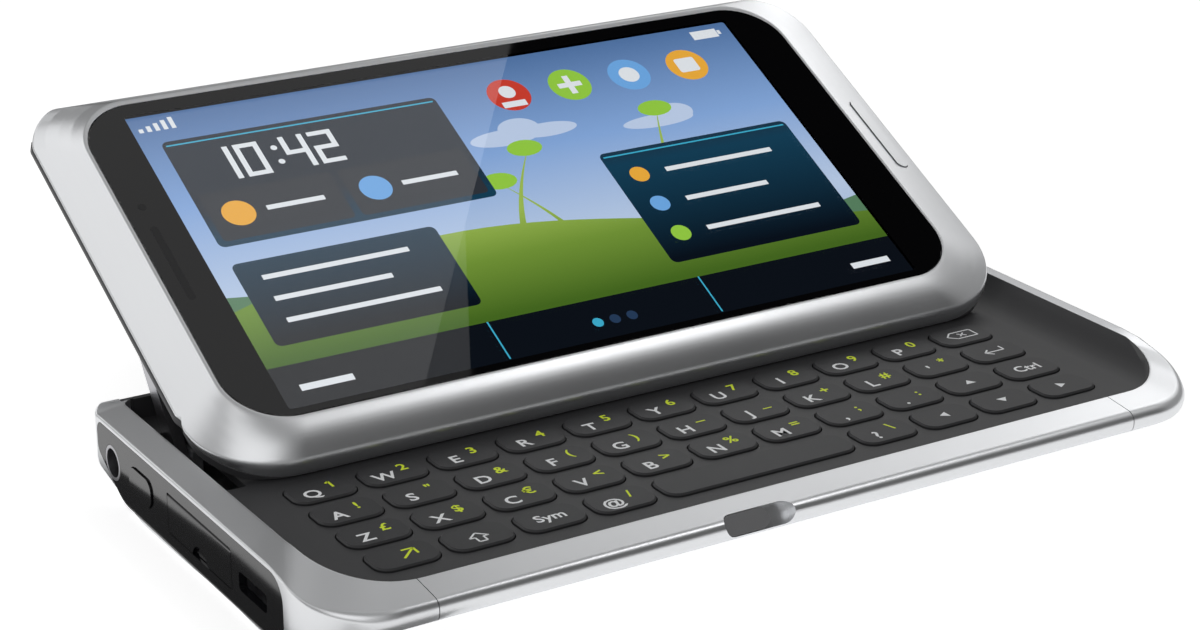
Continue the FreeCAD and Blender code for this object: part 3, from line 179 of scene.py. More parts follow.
materials = {
    "silver": newMaterial("satinSilver", satinSurface, Base_Color=satin["base"], Metallic=0.9),
    "deck": newMaterial("charcoalDeck", matteSurface(0.5, 0.08), Base_Color=(0.029, 0.029, 0.031)),
    "key": newMaterial("charcoalKey", matteSurface(0.46, 0.05), Base_Color=(0.026, 0.026, 0.028),
                       Specular_IOR_Level=0.35),
    "back": newMaterial("charcoalBack", matteSurface(0.5, 0.08), Base_Color=(0.06, 0.06, 0.063)),
    "gloss": newMaterial("blackGloss", Base_Color=(0.006, 0.006, 0.007), Roughness=0.1),
    "black": newMaterial("blackInside", Base_Color=(0.008, 0.008, 0.009), Roughness=0.6),
    "print": newMaterial("bezelPrint", Base_Color=(0.004, 0.004, 0.005), Roughness=0.5, Specular_IOR_Level=0.0),
    "margin": newMaterial("marginGloss", Base_Color=(0.003, 0.003, 0.0035), Roughness=0.03),
    "glass": newMaterial("coverGlass", Base_Color=(1.0, 1.0, 1.0), Roughness=0.0, Transmission_Weight=1.0, IOR=1.5),
    "steel": newMaterial("brushedSteel", Base_Color=(0.42, 0.42, 0.44), Metallic=1.0, Roughness=0.3),
    "knob": newMaterial("knobGrey", Base_Color=(0.36, 0.36, 0.37), Metallic=0.85, Roughness=0.45),
    "board": newMaterial("solderMask", Base_Color=(0.02, 0.07, 0.04), Roughness=0.35),
    "foil": newMaterial("batteryFoil", Base_Color=(0.35, 0.36, 0.38), Metallic=0.7, Roughness=0.5),
    "white": newMaterial("whitePrint", Base_Color=(0.85, 0.86, 0.87), Roughness=0.6),
    "green": newMaterial("greenPrint", Base_Color=(0.72, 0.86, 0.02), Roughness=0.6),
}
print("materials:", len(materials))


# shapes

def roundedPath(left, right, low, high, radii, perCorner=14, perSide=10):
    # anticlockwise from the low left corner: a quarter circle, then a straight run, the same counts for any size
    corners = ((left, low, 180), (right, low, 270), (right, high, 0), (left, high, 90))
    points = []
    for i, (x, y, start) in enumerate(corners):
        r = radii[i]
        cx, cy = x + (r if x == left else -r), y + (r if y == low else -r)
        a = np.radians(start + np.linspace(0, 90, perCorner))
        arc = np.stack([cx + r * np.cos(a), cy + r * np.sin(a)], 1)
        nx, ny, following = corners[(i + 1) % 4]
        q = radii[(i + 1) % 4]
        a = np.radians(following)
        end = np.array([nx + (q if nx == left else -q) + q * math.cos(a),
                        ny + (q if ny == low else -q) + q * math.sin(a)])
        run = np.linspace(0, 1, perSide + 2)[1:-1, None]
        points += [arc, arc[-1] * (1 - run) + end * run]
    return np.concatenate(points)


def sideBlend(near, right, far, left, perCorner=14, perSide=10):
    # each side's own value, eased from one to the next round the corners
    ease = np.linspace(0, 1, perCorner)
    ease = ease * ease * (3 - 2 * ease)
    sides = (near, right, far, left)
    parts = []
    for i, value in enumerate(sides):
        before = sides[i - 1]
        parts += [before + (value - before) * ease, np.full(perSide, float(value))]
    return np.concatenate(parts)


def roundSections(controls, radii, steps=6):
    # (stations, corners, 3) polylines with (stations, corners) radii: each corner becomes a true arc
    out = [controls[:, :1]]
    for k in range(1, controls.shape[1] - 1):
        here = controls[:, k]
        back, ahead = controls[:, k - 1] - here, controls[:, k + 1] - here
        backLength = np.linalg.norm(back, axis=1, keepdims=True) + 1e-9
        aheadLength = np.linalg.norm(ahead, axis=1, keepdims=True) + 1e-9
        back, ahead = back / backLength, ahead / aheadLength
        half = np.arccos(np.clip((back * ahead).sum(1, keepdims=True), -1, 0.9999)) / 2
        reach = radii[:, k:k + 1] / np.tan(np.maximum(half, 1e-3))
        behind, before = np.minimum(reach, 0.48 * backLength), np.minimum(reach, 0.48 * aheadLength)
        t = np.linspace(0, 1, steps)[None, :, None]
        weight = np.sin(half)[:, :, None]
        a, b = (here + back * behind)[:, None], (here + ahead * before)[:, None]
        c = here[:, None]
        top = a * (1 - t) ** 2 + 2 * weight * c * t * (1 - t) + b * t ** 2
        out.append(top / ((1 - t) ** 2 + 2 * weight * t * (1 - t) + t ** 2))
    out.append(controls[:, -1:])
    return np.concatenate(out, axis=1)


def radiiOf(count, *values):
    # the radii of each corner in turn: one number for all stations, or each station's own
    return np.stack([np.broadcast_to(value, count) for value in values], 1)


def skin(sections, ring=False):
    # vertices and faces of a closed skin: open sections get a flat face on their first and last loops
    stations, samples, _ = sections.shape
    i, j = np.meshgrid(np.arange(stations), np.arange(samples if ring else samples - 1), indexing="ij")
    k, m = (i + 1) % stations, (j + 1) % samples
    quads = np.stack([i * samples + j, k * samples + j, k * samples + m, i * samples + m], -1)
    faces = quads.reshape(-1, 4).tolist()
    if not ring:
        faces.append([i * samples for i in range(stations)][::-1])
        faces.append([i * samples + samples - 1 for i in range(stations)])
    return sections.reshape(-1, 3), faces


def addPiece(name, verts, faces, finish, body, smooth=40, replaces=()):
    # verts in millimetres; finish is a material's key, or a list of them with a number for each face
    mesh = bpy.data.meshes.new(name)
    mesh.from_pydata((np.asarray(verts) * mm).tolist(), [], faces)
    return finishPiece(bpy.data.objects.new(name, mesh), finish, body, smooth, replaces)


def smoothFaces(mesh, angle):
    # corner normals weighed by face size, so that flat faces stay flat beside small round ones
    count, loops = len(mesh.polygons), len(mesh.loops)
    corner, total = np.empty(loops, int), np.empty(count, int)
    normal, point = np.empty(count * 3), np.empty(len(mesh.vertices) * 3)
    area = np.empty(count)
    mesh.loops.foreach_get("vertex_index", corner)
    mesh.polygons.foreach_get("loop_total", total)
    mesh.polygons.foreach_get("normal", normal)
    mesh.polygons.foreach_get("area", area)
    mesh.vertices.foreach_get("co", point)
    normal, point = normal.reshape(-1, 3), point.reshape(-1, 3)
    face = np.repeat(np.arange(count), total)
    start = np.repeat(np.cumsum(total) - total, total)
    place = np.arange(loops) - start
    size = total[face]
    ahead = point[corner[start + (place + 1) % size]] - point[corner]
    behind = point[corner[start + (place - 1) % size]] - point[corner]
    turn = (ahead * behind).sum(1) / (np.linalg.norm(ahead, axis=1) * np.linalg.norm(behind, axis=1) + 1e-20)
    weight = normal[face] * (area[face] * np.arccos(np.clip(turn, -1, 1)))[:, None]
    order = np.argsort(corner, kind="stable")
    first = np.flatnonzero(np.r_[True, np.diff(corner[order]) > 0])
    sizes = np.diff(np.r_[first, loops])
    group, groupStart = np.repeat(sizes, sizes), np.repeat(first, sizes)
    one = np.repeat(np.arange(loops), group)
    other = np.repeat(groupStart, group) + np.arange(len(one)) - np.repeat(np.cumsum(group) - group, group)
    one, other = order[one], order[other]
    close = (normal[face[one]] * normal[face[other]]).sum(1) > math.cos(math.radians(angle))
    result = np.zeros((loops, 3))
    np.add.at(result, one[close], weight[other[close]])
    result /= np.linalg.norm(result, axis=1, keepdims=True) + 1e-30
    mesh.shade_smooth()
    mesh.normals_split_custom_set(result)


def finishPiece(piece, finish, body, smooth=40, replaces=()):
    if piece.name not in bpy.context.scene.collection.objects:
        bpy.context.scene.collection.objects.link(piece)
    keys, numbers = finish if isinstance(finish, tuple) else ([finish], None)
    piece.data.materials.clear()
    for key in keys:
        piece.data.materials.append(materials[key])
    if numbers is not None:
        piece.data.polygons.foreach_set("material_index", numbers)
    if smooth:
        smoothFaces(piece.data, smooth)
    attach(piece, body)
    if replaces:
        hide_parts(*replaces)
    return piece


def cleanMesh(name):
    # a node's mesh in the scene's frame with its doubled vertices joined
    node = nodes[name]
    mesh = node.data.copy()
    mesh.transform(node.matrix_world)
    work = bmesh.new()
    work.from_mesh(mesh)
    bmesh.ops.remove_doubles(work, verts=work.verts, dist=2e-6)
    work.to_mesh(mesh)
    work.free()
    return mesh


def looseNumbers(mesh):
    # the number of the loose part that each face belongs to, and each part's box in millimetres
    count = len(mesh.vertices)
    label = np.arange(count)
    edges = np.empty(len(mesh.edges) * 2, int)
    mesh.edges.foreach_get("vertices", edges)
    a, b = edges.reshape(-1, 2).T
    while True:
        low = np.minimum(label[a], label[b])
        before = label.copy()
        np.minimum.at(label, a, low)
        np.minimum.at(label, b, low)
        label = label[label]
        if (label == before).all():
            break
    first = np.array([polygon.vertices[0] for polygon in mesh.polygons])
    points = np.empty(count * 3)
    mesh.vertices.foreach_get("co", points)
    points = points.reshape(-1, 3) / mm
    boxes = {n: (points[label == n].min(0), points[label == n].max(0)) for n in np.unique(label)}
    return label[first], boxes


def dress(name, finish, smooth=35, choose=None):
    # a smooth copy of a node; choose(low, high) names the finish of each loose part
    mesh = cleanMesh(name)
    if choose:
        numbers, boxes = looseNumbers(mesh)
        chosen = {n: choose(*box) for n, box in boxes.items()}
        keys = sorted(set(chosen.values()))
        finish = (keys, [keys.index(chosen[n]) for n in numbers])
    piece = bpy.data.objects.new(name + "_skin", mesh)
    return finishPiece(piece, finish, bodyOfNode[name], smooth, (name,))


def subtract(piece, tools, keep=None):
    # keeps what lies in one tool and cuts the others out of a piece for good
    tools = ([keep] if keep else []) + tools
    for tool in tools:
        cutter = piece.modifiers.new("cut", "BOOLEAN")
        cutter.operation, cutter.solver, cutter.object = "DIFFERENCE", "EXACT", tool
        if tool is keep:
            cutter.operation = "INTERSECT"
    bpy.context.view_layer.update()
    mesh = bpy.data.meshes.new_from_object(piece.evaluated_get(bpy.context.evaluated_depsgraph_get()))
    piece.modifiers.clear()
    piece.data = mesh
    for tool in tools:
        bpy.data.objects.remove(tool)


def toolFrom(verts, faces):
    mesh = bpy.data.meshes.new("tool")
    mesh.from_pydata((np.asarray(verts) * mm).tolist(), [], faces)
    tool = bpy.data.objects.new("tool", mesh)
    bpy.context.scene.collection.objects.link(tool)
    return tool


def ellipse(x, y, a, b=None, steps=28, start=0, sweep=360):
    t = np.radians(start + np.linspace(0, sweep, steps, endpoint=sweep < 360))
    return np.column_stack([x + a * np.cos(t), y + (b or a) * np.sin(t)])


def boxTool(left, right, near, far, low, high):
    path = np.array([(left, near), (right, near), (right, far), (left, far)], float)
    return toolFrom(*skin(np.stack([level(path, low), level(path, high)], 1)))


def prismTool(path, start, end, origin=(0, 0, 0), axes=((1, 0, 0), (0, 1, 0), (0, 0, 1))):
    # a path in its own plane, pulled along the third axis
    verts, faces = skin(np.stack([level(path, start), level(path, end)], 1))
    return toolFrom(np.asarray(origin) + verts @ np.asarray(axes, float), faces)


bodyOfNode = {name: body for body, empty in frame["bodies"].items()
              for name, node in nodes.items() if node.parent == empty}


def inset(box, amount):
    left, right, low, high = box
    return left + amount, right - amount, low + amount, high - amount


# the display half's own frame: x along the phone, s up the picture, n out of the glass

tilt = math.radians(27.08)
displayOrigin = np.array([0.0, 8.77, 14.7])
displayAxes = np.array([[1, 0, 0], [0, math.cos(tilt), math.sin(tilt)], [0, -math.sin(tilt), math.cos(tilt)]])


def onDisplay(points):
    return displayOrigin + np.asarray(points, float) @ displayAxes


def level(path, height):
    return np.column_stack([path, np.broadcast_to(height, len(path))])


DISPLAY_FRAME = {"origin": displayOrigin, "axes": displayAxes}
display = {
    "outline": (-57.6, 58.5, -7.0, 55.4), "corners": (11, 11, 7.5, 3.5),
    "glass": (-52.75, 51.85, -1.65, 53.2), "glassCorner": 7.5, "pane": (-0.9, 0.0, 0.1),  # low, high, bevel
    "lip": (0.4, 0.4, 0.85, 0.4),  # flat rim round the glass: near, right, far, left
    "crease": (6.0, 1.0, 0.5, 0.5),  # rounding at that rim
    "swell": (0.42, 0.03, 0.02, 0.06),  # how far the slope beyond it bulges
    "top": (-2.2, -1.9, -0.9, -4.05),  # upper corner of the side
    "topRound": (1.5, 0.4, 0.5, 0.35),
    "low": (-4.3, -2.4, -2.72, -4.3),  # lower corner of the side
    "tuck": (0.15, 4.4, 1.7, 0.1),  # how far in the underside starts
    "floor": -4.3, "seat": -0.93, "seatWidth": 0.9, "fit": 0.05,
    "sharp": 0.02, "seatRound": 0.06, "archRound": 20.0, "lowRound": 0.2,
    "menuWell": (54.38, 56.62, 17.98, 31.92), "menuCorner": 1.07, "menuHeights": (-2.4, 1.0),
    "farStep": (-60, 60, 54.0, 57), "farStepCorner": 0.2, "farStepHeights": (-6, -3.15),
}
# room for the front end of the base's left rim: a wedge whose roof climbs from front to full, less a round part
rimRelief = {"front": -1.95, "full": 7.15, "roof": (-5.7, -3.0), "lowest": -9.3, "left": -59.6,
             "corner": 11.05, "deckLeft": -58.45, "roundRadius": 10.75, "roundHeights": (-10.3, 1.0)}


def displayFrame():
    d = display
    corner = d["glassCorner"]

    def glassPath(grow):
        return roundedPath(*inset(d["glass"], -grow), [corner + grow] * 4)
    inner, outer = glassPath(d["fit"]), roundedPath(*d["outline"], d["corners"])
    lip = sideBlend(*d["lip"])[:, None]
    wide = glassPath(1.0)
    unit = (wide - inner) / np.linalg.norm(wide - inner, axis=1, keepdims=True)
    tuck = sideBlend(*d["tuck"])[:, None]
    inwards = roundedPath(*inset(d["outline"], 1.0), [c - 1 for c in d["corners"]]) - outer
    narrow = glassPath(-d["seatWidth"])
    top, low = sideBlend(*d["top"]), sideBlend(*d["low"])
    floor = np.full(len(inner), d["floor"])
    swell = sideBlend(*d["swell"])[:, None]
    start, end = level(inner + unit * lip, 0.0), level(outer, top)
    lean = np.column_stack([-unit * (end - start)[:, 2:], np.linalg.norm(outer - start[:, :2], axis=1)])
    lean /= np.linalg.norm(lean, axis=1, keepdims=True)
    arch = [start + (end - start) * t + lean * swell * 4 * t * (1 - t) for t in (0.25, 0.5, 0.75)]
    controls = np.stack([
        level(inner, d["seat"]), level(inner, 0.0), start, *arch, end,
        level(outer, low), level(outer + inwards * tuck, floor), level(narrow, d["floor"]),
        level(narrow, d["seat"]),
    ], 1)
    radii = radiiOf(len(inner), d["sharp"], d["seatRound"], sideBlend(*d["crease"]), *[d["archRound"]] * 3,
                    sideBlend(*d["topRound"]), d["lowRound"], *[d["sharp"]] * 3)
    verts, faces = skin(roundSections(controls, radii), ring=True)
    piece = addPiece("display_surround", onDisplay(verts), faces, "silver", "display", 0, ("display_frame",))
    well = prismTool(roundedPath(*d["menuWell"], [d["menuCorner"]] * 4), *d["menuHeights"], **DISPLAY_FRAME)
    # room for the deck's back wall under the far edge
    wall = prismTool(roundedPath(*d["farStep"], [d["farStepCorner"]] * 4, 2, 1), *d["farStepHeights"],
                     **DISPLAY_FRAME)
    subtract(piece, [well, rimWedge(), wall])
    smoothFaces(piece.data, 40)


def rimWedge():
    r = rimRelief
    front, far, right = r["front"], r["front"] + r["corner"], r["deckLeft"] + r["corner"]
    profile = np.array([(front, r["lowest"]), (far, r["lowest"]), (far, r["roof"][1]), (r["full"], r["roof"][1]),
                        (front, r["roof"][0])])
    wedge = prismTool(profile, r["left"], right, displayOrigin, displayAxes[[1, 2, 0]])
    roundPart = prismTool(ellipse(right, far, r["roundRadius"], steps=72), *r["roundHeights"], **DISPLAY_FRAME)
    subtract(wedge, [roundPart])
    return wedge


displayFrame()
print("display surround")


def glassPane():
    # a plate with a small bevel round its face
    path = roundedPath(*display["glass"], [display["glassCorner"]] * 4)
    low, high, edge = display["pane"]
    centre = path.mean(0)
    small = path - edge * (path - centre) / np.linalg.norm(path - centre, axis=1, keepdims=True)
    verts, faces = skin(np.stack([level(path, low), level(path, high - edge), level(small, high)], 1))
    addPiece("glass_pane", onDisplay(verts), faces, "glass", "display", 30, ("cover_glass",))


glassPane()

# the lit picture's plate, its surface, the steps between its layers and the height its shades run over
picture = {"box": (-46.55, 44.85, -0.7, 51.2), "corner": 0.5, "inset": 0.05, "surface": -0.97, "bottom": -2.6,
           "step": 0.008, "shadeHeight": 52.0, "bar": 6.4}

# the black margin: insets from the glass and the picture, heights, and the marks in its left part
margin = {
    "rings": (("glass_print", 0.02, -0.915, "print"), ("margin_gloss", 0.11, 0.004, "margin")),
    "window": 0.1, "windowCorner": 0.4,
    "marks": (("earpiece_slot", 25.3, 6.4, 0.5), ("front_camera", 35.2, 0.56, 0.55)),  # up, half length, half width
    "marksAt": -50.35, "marksHeight": 0.012, "markRound": 0.98,
}


def glassMargin():
    window = roundedPath(*inset(picture["box"], margin["window"]), [margin["windowCorner"]] * 4)
    for name, amount, height, finish in margin["rings"]:
        outer = roundedPath(*inset(display["glass"], amount), [display["glassCorner"]] * 4)
        count = len(outer)
        verts = onDisplay(np.concatenate([level(outer, height), level(window, height)]))
        faces = [[i, (i + 1) % count, count + (i + 1) % count, count + i] for i in range(count)]
        addPiece(name, verts, faces, finish, "display", 0)
    x = margin["marksAt"]
    for name, up, length, width in margin["marks"]:
        path = roundedPath(x - width, x + width, up - length, up + length, [width * margin["markRound"]] * 4, 6, 2)
        verts = onDisplay(level(path, margin["marksHeight"]))
        addPiece(name, verts, [list(range(len(path)))], "black", "display", 0)


glassMargin()
print("glass and margin")


# the lit picture: thin layers under the glass, in plain colours and in shades that change upwards

glow = {
    "night": (0.02, 0.045, 0.1), "tile": (0.03, 0.035, 0.045), "bar": (0.004, 0.006, 0.01),
    "cyan": (0.05, 0.42, 0.62), "paper": (0.78, 0.82, 0.86), "cloud": (0.52, 0.63, 0.83), "hill": (0.1, 0.22, 0.12),
    "amber": (0.85, 0.42, 0.05), "sky": (0.16, 0.4, 0.78), "red": (0.6, 0.05, 0.03), "lime": (0.3, 0.6, 0.06),
}


def litMaterial(key, build=None, **values):
    materials[key] = newMaterial("lit_" + key, build, Base_Color=(0, 0, 0), Roughness=0.5, Specular_IOR_Level=0.0,
                                 Emission_Strength=1.0, **values)


def upwards(*stops):
    # colours at shares of the picture's height
    def build(tree):
        split = addNode(tree, "ShaderNodeSeparateXYZ", {}, {"Vector": objectCoords(tree)}, 2)
        up = (split / mm - displayOrigin[2]) / (picture["shadeHeight"] * math.sin(tilt))
        return {"Emission Color": addNode(tree, "ShaderNodeValToRGB", {"stops": stops}, {"Fac": up})}
    return build


shades = {
    "air": upwards((0.0, (0.30, 0.42, 0.62)), (0.3, (0.50, 0.62, 0.82)), (0.62, (0.24, 0.40, 0.72)),
                   (1.0, (0.06, 0.14, 0.32))),
    "leaf": upwards((0.1, (0.06, 0.14, 0.015)), (0.28, (0.17, 0.30, 0.04)), (0.42, (0.34, 0.50, 0.09))),
    "panel": upwards((0.16, (0.003, 0.006, 0.012)), (0.5, (0.008, 0.05, 0.095)), (0.6, (0.018, 0.026, 0.04))),
}
for key, colour in glow.items():
    litMaterial(key, Emission_Color=colour)
for key, shade in shades.items():
    litMaterial(key, shade)


def card(left, right, low, high, r):
    return roundedPath(left, right, low, high, [r] * 4, 6, 2)


def band(points, width):
    # a strip along a line, as wide as width at each point
    points = np.asarray(points, float)
    along = np.gradient(points, axis=0)
    side = np.column_stack([-along[:, 1], along[:, 0]])
    side *= np.broadcast_to(width, len(points))[:, None] / 2 / np.linalg.norm(side, axis=1, keepdims=True)
    return np.concatenate([points + side, (points - side)[::-1]])


SEGMENTS = {"0": "abcdef", "1": "bc", "2": "abged", "4": "fgbc"}  # the strokes of the clock's digits


def digits(text, x, y, height, stroke):
    # digits built of strokes, from their lower left corner
    wide, half = height * 0.5, height / 2
    ends = {"a": ((0, height), (wide, height)), "b": ((wide, height), (wide, half)), "c": ((wide, half), (wide, 0)),
            "d": ((0, 0), (wide, 0)), "e": ((0, half), (0, 0)), "f": ((0, height), (0, half)),
            "g": ((0, half), (wide, half))}
    shapes = []
    for mark in text:
        if mark == ":":
            shapes += [ellipse(x + stroke, y + height * k, stroke * 0.6, steps=12) for k in (0.25, 0.75)]
            x += stroke * 3
            continue
        for name in SEGMENTS[mark]:
            (x0, y0), (x1, y1) = ends[name]
            ex, ey = (stroke / 2, 0) if y0 == y1 else (0, stroke / 2)
            low, high = (min(x0, x1), min(y0, y1)), (max(x0, x1), max(y0, y1))
            shapes.append(band([(x + low[0] - ex, y + low[1] - ey), (x + high[0] + ex, y + high[1] + ey)], stroke))
        x += wide + height * 0.28
    return shapes


def litPicture():
    left, right, low, high = inset(picture["box"], picture["inset"])
    bar = picture["bar"]
    run = np.linspace(0, 1, 30)
    across = left + (right - left) * run
    hill = list(zip(across, 12 + 7 * np.sin(2.2 * run + 0.6) + 3 * np.sin(5 * run)))
    farHill = list(zip(across, 16 + 5 * np.sin(3.4 * run + 2.6)))
    stems = []
    for x, lean, tall, wide in ((-6, 9, 24, 1.6), (4, -7, 19, 1.3), (19, 6, 27, 1.7), (31, -5, 17, 1.2)):
        t = np.linspace(0, 1, 16)
        stems.append(band(np.column_stack([x + lean * t ** 2, 9 + tall * t]), wide * (1.02 - t) + 0.05))
    heads = [ellipse(x, y, 2.6, 1.5, 20) for x, y in ((3.2, 34), (-3.2, 29), (25.2, 37), (26, 27))]
    puffs = ((1.5, 36.4, 5.2, 1.5), (4.2, 37.6, 3.1, 2.0), (8.0, 36.6, 4.6, 1.3), (24.5, 34.6, 5.6, 1.2),
             (27.5, 35.6, 3.0, 1.8))
    clouds = [ellipse(*puff, 32) for puff in puffs]
    layers = [  # from the bottom up: colour, outlines
        ("air", [card(left, right, low, high, 0.4)]),
        ("cloud", clouds),
        ("hill", [farHill[::-1] + [(left, low), (right, low)]]),
        ("leaf", [hill[::-1] + [(left, low), (right, low)]] + stems),
        ("lime", heads),
        ("bar", [[(left, low), (right, low), (right, bar), (left, bar)]]),
        ("panel", [card(-43.5, -4.5, 26.6, 46.0, 0.9), card(12.5, 42.5, 9.4, 30.4, 0.9),
                   card(-43.5, -15.5, 9.4, 23.6, 0.9)]),
        ("tile", [card(-42.6, -24.5, 27.5, 36.0, 0.6), card(-23.5, -5.4, 27.5, 36.0, 0.6)]),
        ("cyan", [band([(-43, 45.2), (-5, 45.2)], 0.25), band([(13, 29.6), (42, 29.6)], 0.25),
                  band([(-16.5, bar), (-16.5, 0)], 0.22), band([(14.5, bar), (14.5, 0)], 0.22),
                  ellipse(-2.6, 2.6, 0.75)]),
        ("night", [ellipse(-0.1, 2.6, 0.75), ellipse(2.4, 2.6, 0.75)]),
        ("paper", digits("10:42", -38.5, 37.9, 5.2, 0.75)
         + [band([(-40.5, y), (-40.5 + w, y)], 0.8) for y, w in ((20.6, 20), (16.9, 16), (13.2, 21))]
         + [band([(20.5, y), (20.5 + w, y)], 0.8) for y, w in ((25.6, 17), (19.9, 13), (14.2, 18))]
         + [band([(-45 + 1.1 * k, 48.2), (-45 + 1.1 * k, 48.9 + 0.35 * k)], 0.6) for k in range(5)]
         + [band([(38.4, 49.3), (42.6, 49.3)], 1.7), band([(42.7, 49.3), (43.2, 49.3)], 0.8)]
         + [band([(-43.5, 2.6), (-36.5, 2.6)], 1.0), band([(36.5, 2.6), (42.5, 2.6)], 1.0)]),
        ("amber", [ellipse(-38.8, 31.8, 2.2), ellipse(16.4, 25.6, 1.4), ellipse(34.5, 44.0, 3.1)]),
        ("sky", [ellipse(-19.8, 31.8, 2.2), ellipse(16.4, 19.9, 1.4), ellipse(25.0, 44.0, 3.1)]),
        ("lime", [ellipse(16.4, 14.2, 1.4), ellipse(15.5, 44.0, 3.1)]),
        ("red", [ellipse(6.0, 44.0, 3.1)]),
        ("paper", [band([(-35, 31.8), (-27, 31.8)], 0.8), band([(-16, 31.8), (-8, 31.8)], 0.8),
                   card(32.9, 36.1, 42.6, 45.4, 0.4), ellipse(25.0, 44.0, 1.5),
                   band([(15.5, 42.2), (15.5, 45.8)], 0.9), band([(13.7, 44.0), (17.3, 44.0)], 0.9),
                   ellipse(6, 44.6, 1.2), band([(4.2, 42.2), (7.8, 42.2)], 1.1)]),
    ]
    verts, faces, numbers, keys, total = [], [], [], [], 0
    for depth, (key, shapes) in enumerate(layers):
        if key not in keys:
            keys.append(key)
        for shape in shapes:
            height = picture["surface"] + picture["step"] * (depth + 1) / 2
            points = np.clip(shape, (left, low), (right, high))
            verts.append(level(points, height))
            faces.append(list(range(total, total + len(points))))
            numbers.append(keys.index(key))
            total += len(points)
    addPiece("picture_layers", onDisplay(np.concatenate(verts)), faces, (keys, numbers), "display", 0)
    plate = roundedPath(*picture["box"], [picture["corner"]] * 4)
    verts, faces = skin(np.stack([level(plate, picture["bottom"]), level(plate, picture["surface"])], 1))
    addPiece("picture_panel", onDisplay(verts), faces, "black", "display", 30, ("display_panel",))


litPicture()
print("picture")


# legends printed on the key caps: (key, main legend, second legend)

LEGENDS = (
    "q:Q: w:W:2 e:E:3 r:R:4 t:T:5 y:Y:6 u:U:7 i:I:8 o:O:9 p:P:0 backspace:: a:A:! s:S:\" d:D:& f:F:( g:G:) "
    "h:H:\u2013 j:J:_ k:K:+ l:L:# apostrophe:':* enter:: z:Z:\u00a3 x:X:$ c:C:\u20ac v:V:< b:B:> n:N:% m:M:= "
    "comma:,:; up:: ctrl:Ctrl: fn:: shift:: sym:Sym: at:@:/ space:: question:?:\\ left:: down:: right::"
)
# sizes and places on the cap in millimetres; word is the scale of a legend of several letters, drop the share of
# a letter's size from the middle of its print down to its baseline
legend = {"main": (-1.34, -0.72), "second": (1.53, 0.66), "size": 2.75, "secondSize": 2.35, "word": 0.86,
          "drop": 0.35, "bold": 0.02, "print": 0.008}


def stroke(points, width):
    return [band(points[i:i + 2], width) for i in range(len(points) - 1)]


# signs drawn in strokes and triangles: finish, outlines
ICONS = {
    "backspace": ("white", stroke([(-2.1, 0), (-1.1, 1), (2.1, 1), (2.1, -1), (-1.1, -1), (-2.1, 0)], 0.22)
                  + stroke([(-0.3, 0.45), (0.7, -0.45)], 0.22) + stroke([(-0.3, -0.45), (0.7, 0.45)], 0.22)),
    "enter": ("white", stroke([(1.6, 1.0), (1.6, -0.2), (-1.3, -0.2)], 0.24)
              + stroke([(-0.5, 0.6), (-1.4, -0.2), (-0.5, -1.0)], 0.24)),
    "q": ("green", stroke([(1.15, 1.08), (1.62, 1.46), (1.62, -0.16)], 0.3)),
    "up": ("white", [[(-0.75, -0.5), (0.75, -0.5), (0, 0.6)]]),
    "down": ("white", [[(-0.75, 0.5), (0, -0.6), (0.75, 0.5)]]),
    "left": ("white", [[(0.55, -0.7), (0.55, 0.7), (-0.6, 0)]]),
    "right": ("white", [[(-0.55, -0.7), (0.6, 0), (-0.55, 0.7)]]),
    "shift": ("white", stroke([(-0.5, -1.6), (0.5, -1.6), (0.5, -0.5), (1.2, -0.5), (0, 0.6), (-1.2, -0.5),
                               (-0.5, -0.5), (-0.5, -1.6)], 0.24)),
    "fn": ("green", stroke([(-0.2, -1.0), (1.7, 0.9)], 0.3)
           + stroke([(0.3, 0.95), (1.75, 0.95), (1.75, -0.5)], 0.3)),
}


def letterMeshes(wanted):
    # (points, faces) in millimetres of each different text, set on its baseline and centred
    made = {}
    for text, size in wanted:
        curve = bpy.data.curves.new("letter", "FONT")
        curve.body, curve.size, curve.align_x, curve.resolution_u = text, size, "CENTER", 3
        curve.offset = legend["bold"] * size
        made[text, size] = bpy.data.objects.new("letter", curve)
        bpy.context.scene.collection.objects.link(made[text, size])
    graph = bpy.context.evaluated_depsgraph_get()
    letters = {}
    for key, item in made.items():
        mesh = bpy.data.meshes.new_from_object(item.evaluated_get(graph))
        points = np.empty(len(mesh.vertices) * 3)
        mesh.vertices.foreach_get("co", points)
        letters[key] = points.reshape(-1, 3)[:, :2], [list(polygon.vertices) for polygon in mesh.polygons]
        bpy.data.objects.remove(item)
        bpy.data.meshes.remove(mesh)
    return letters


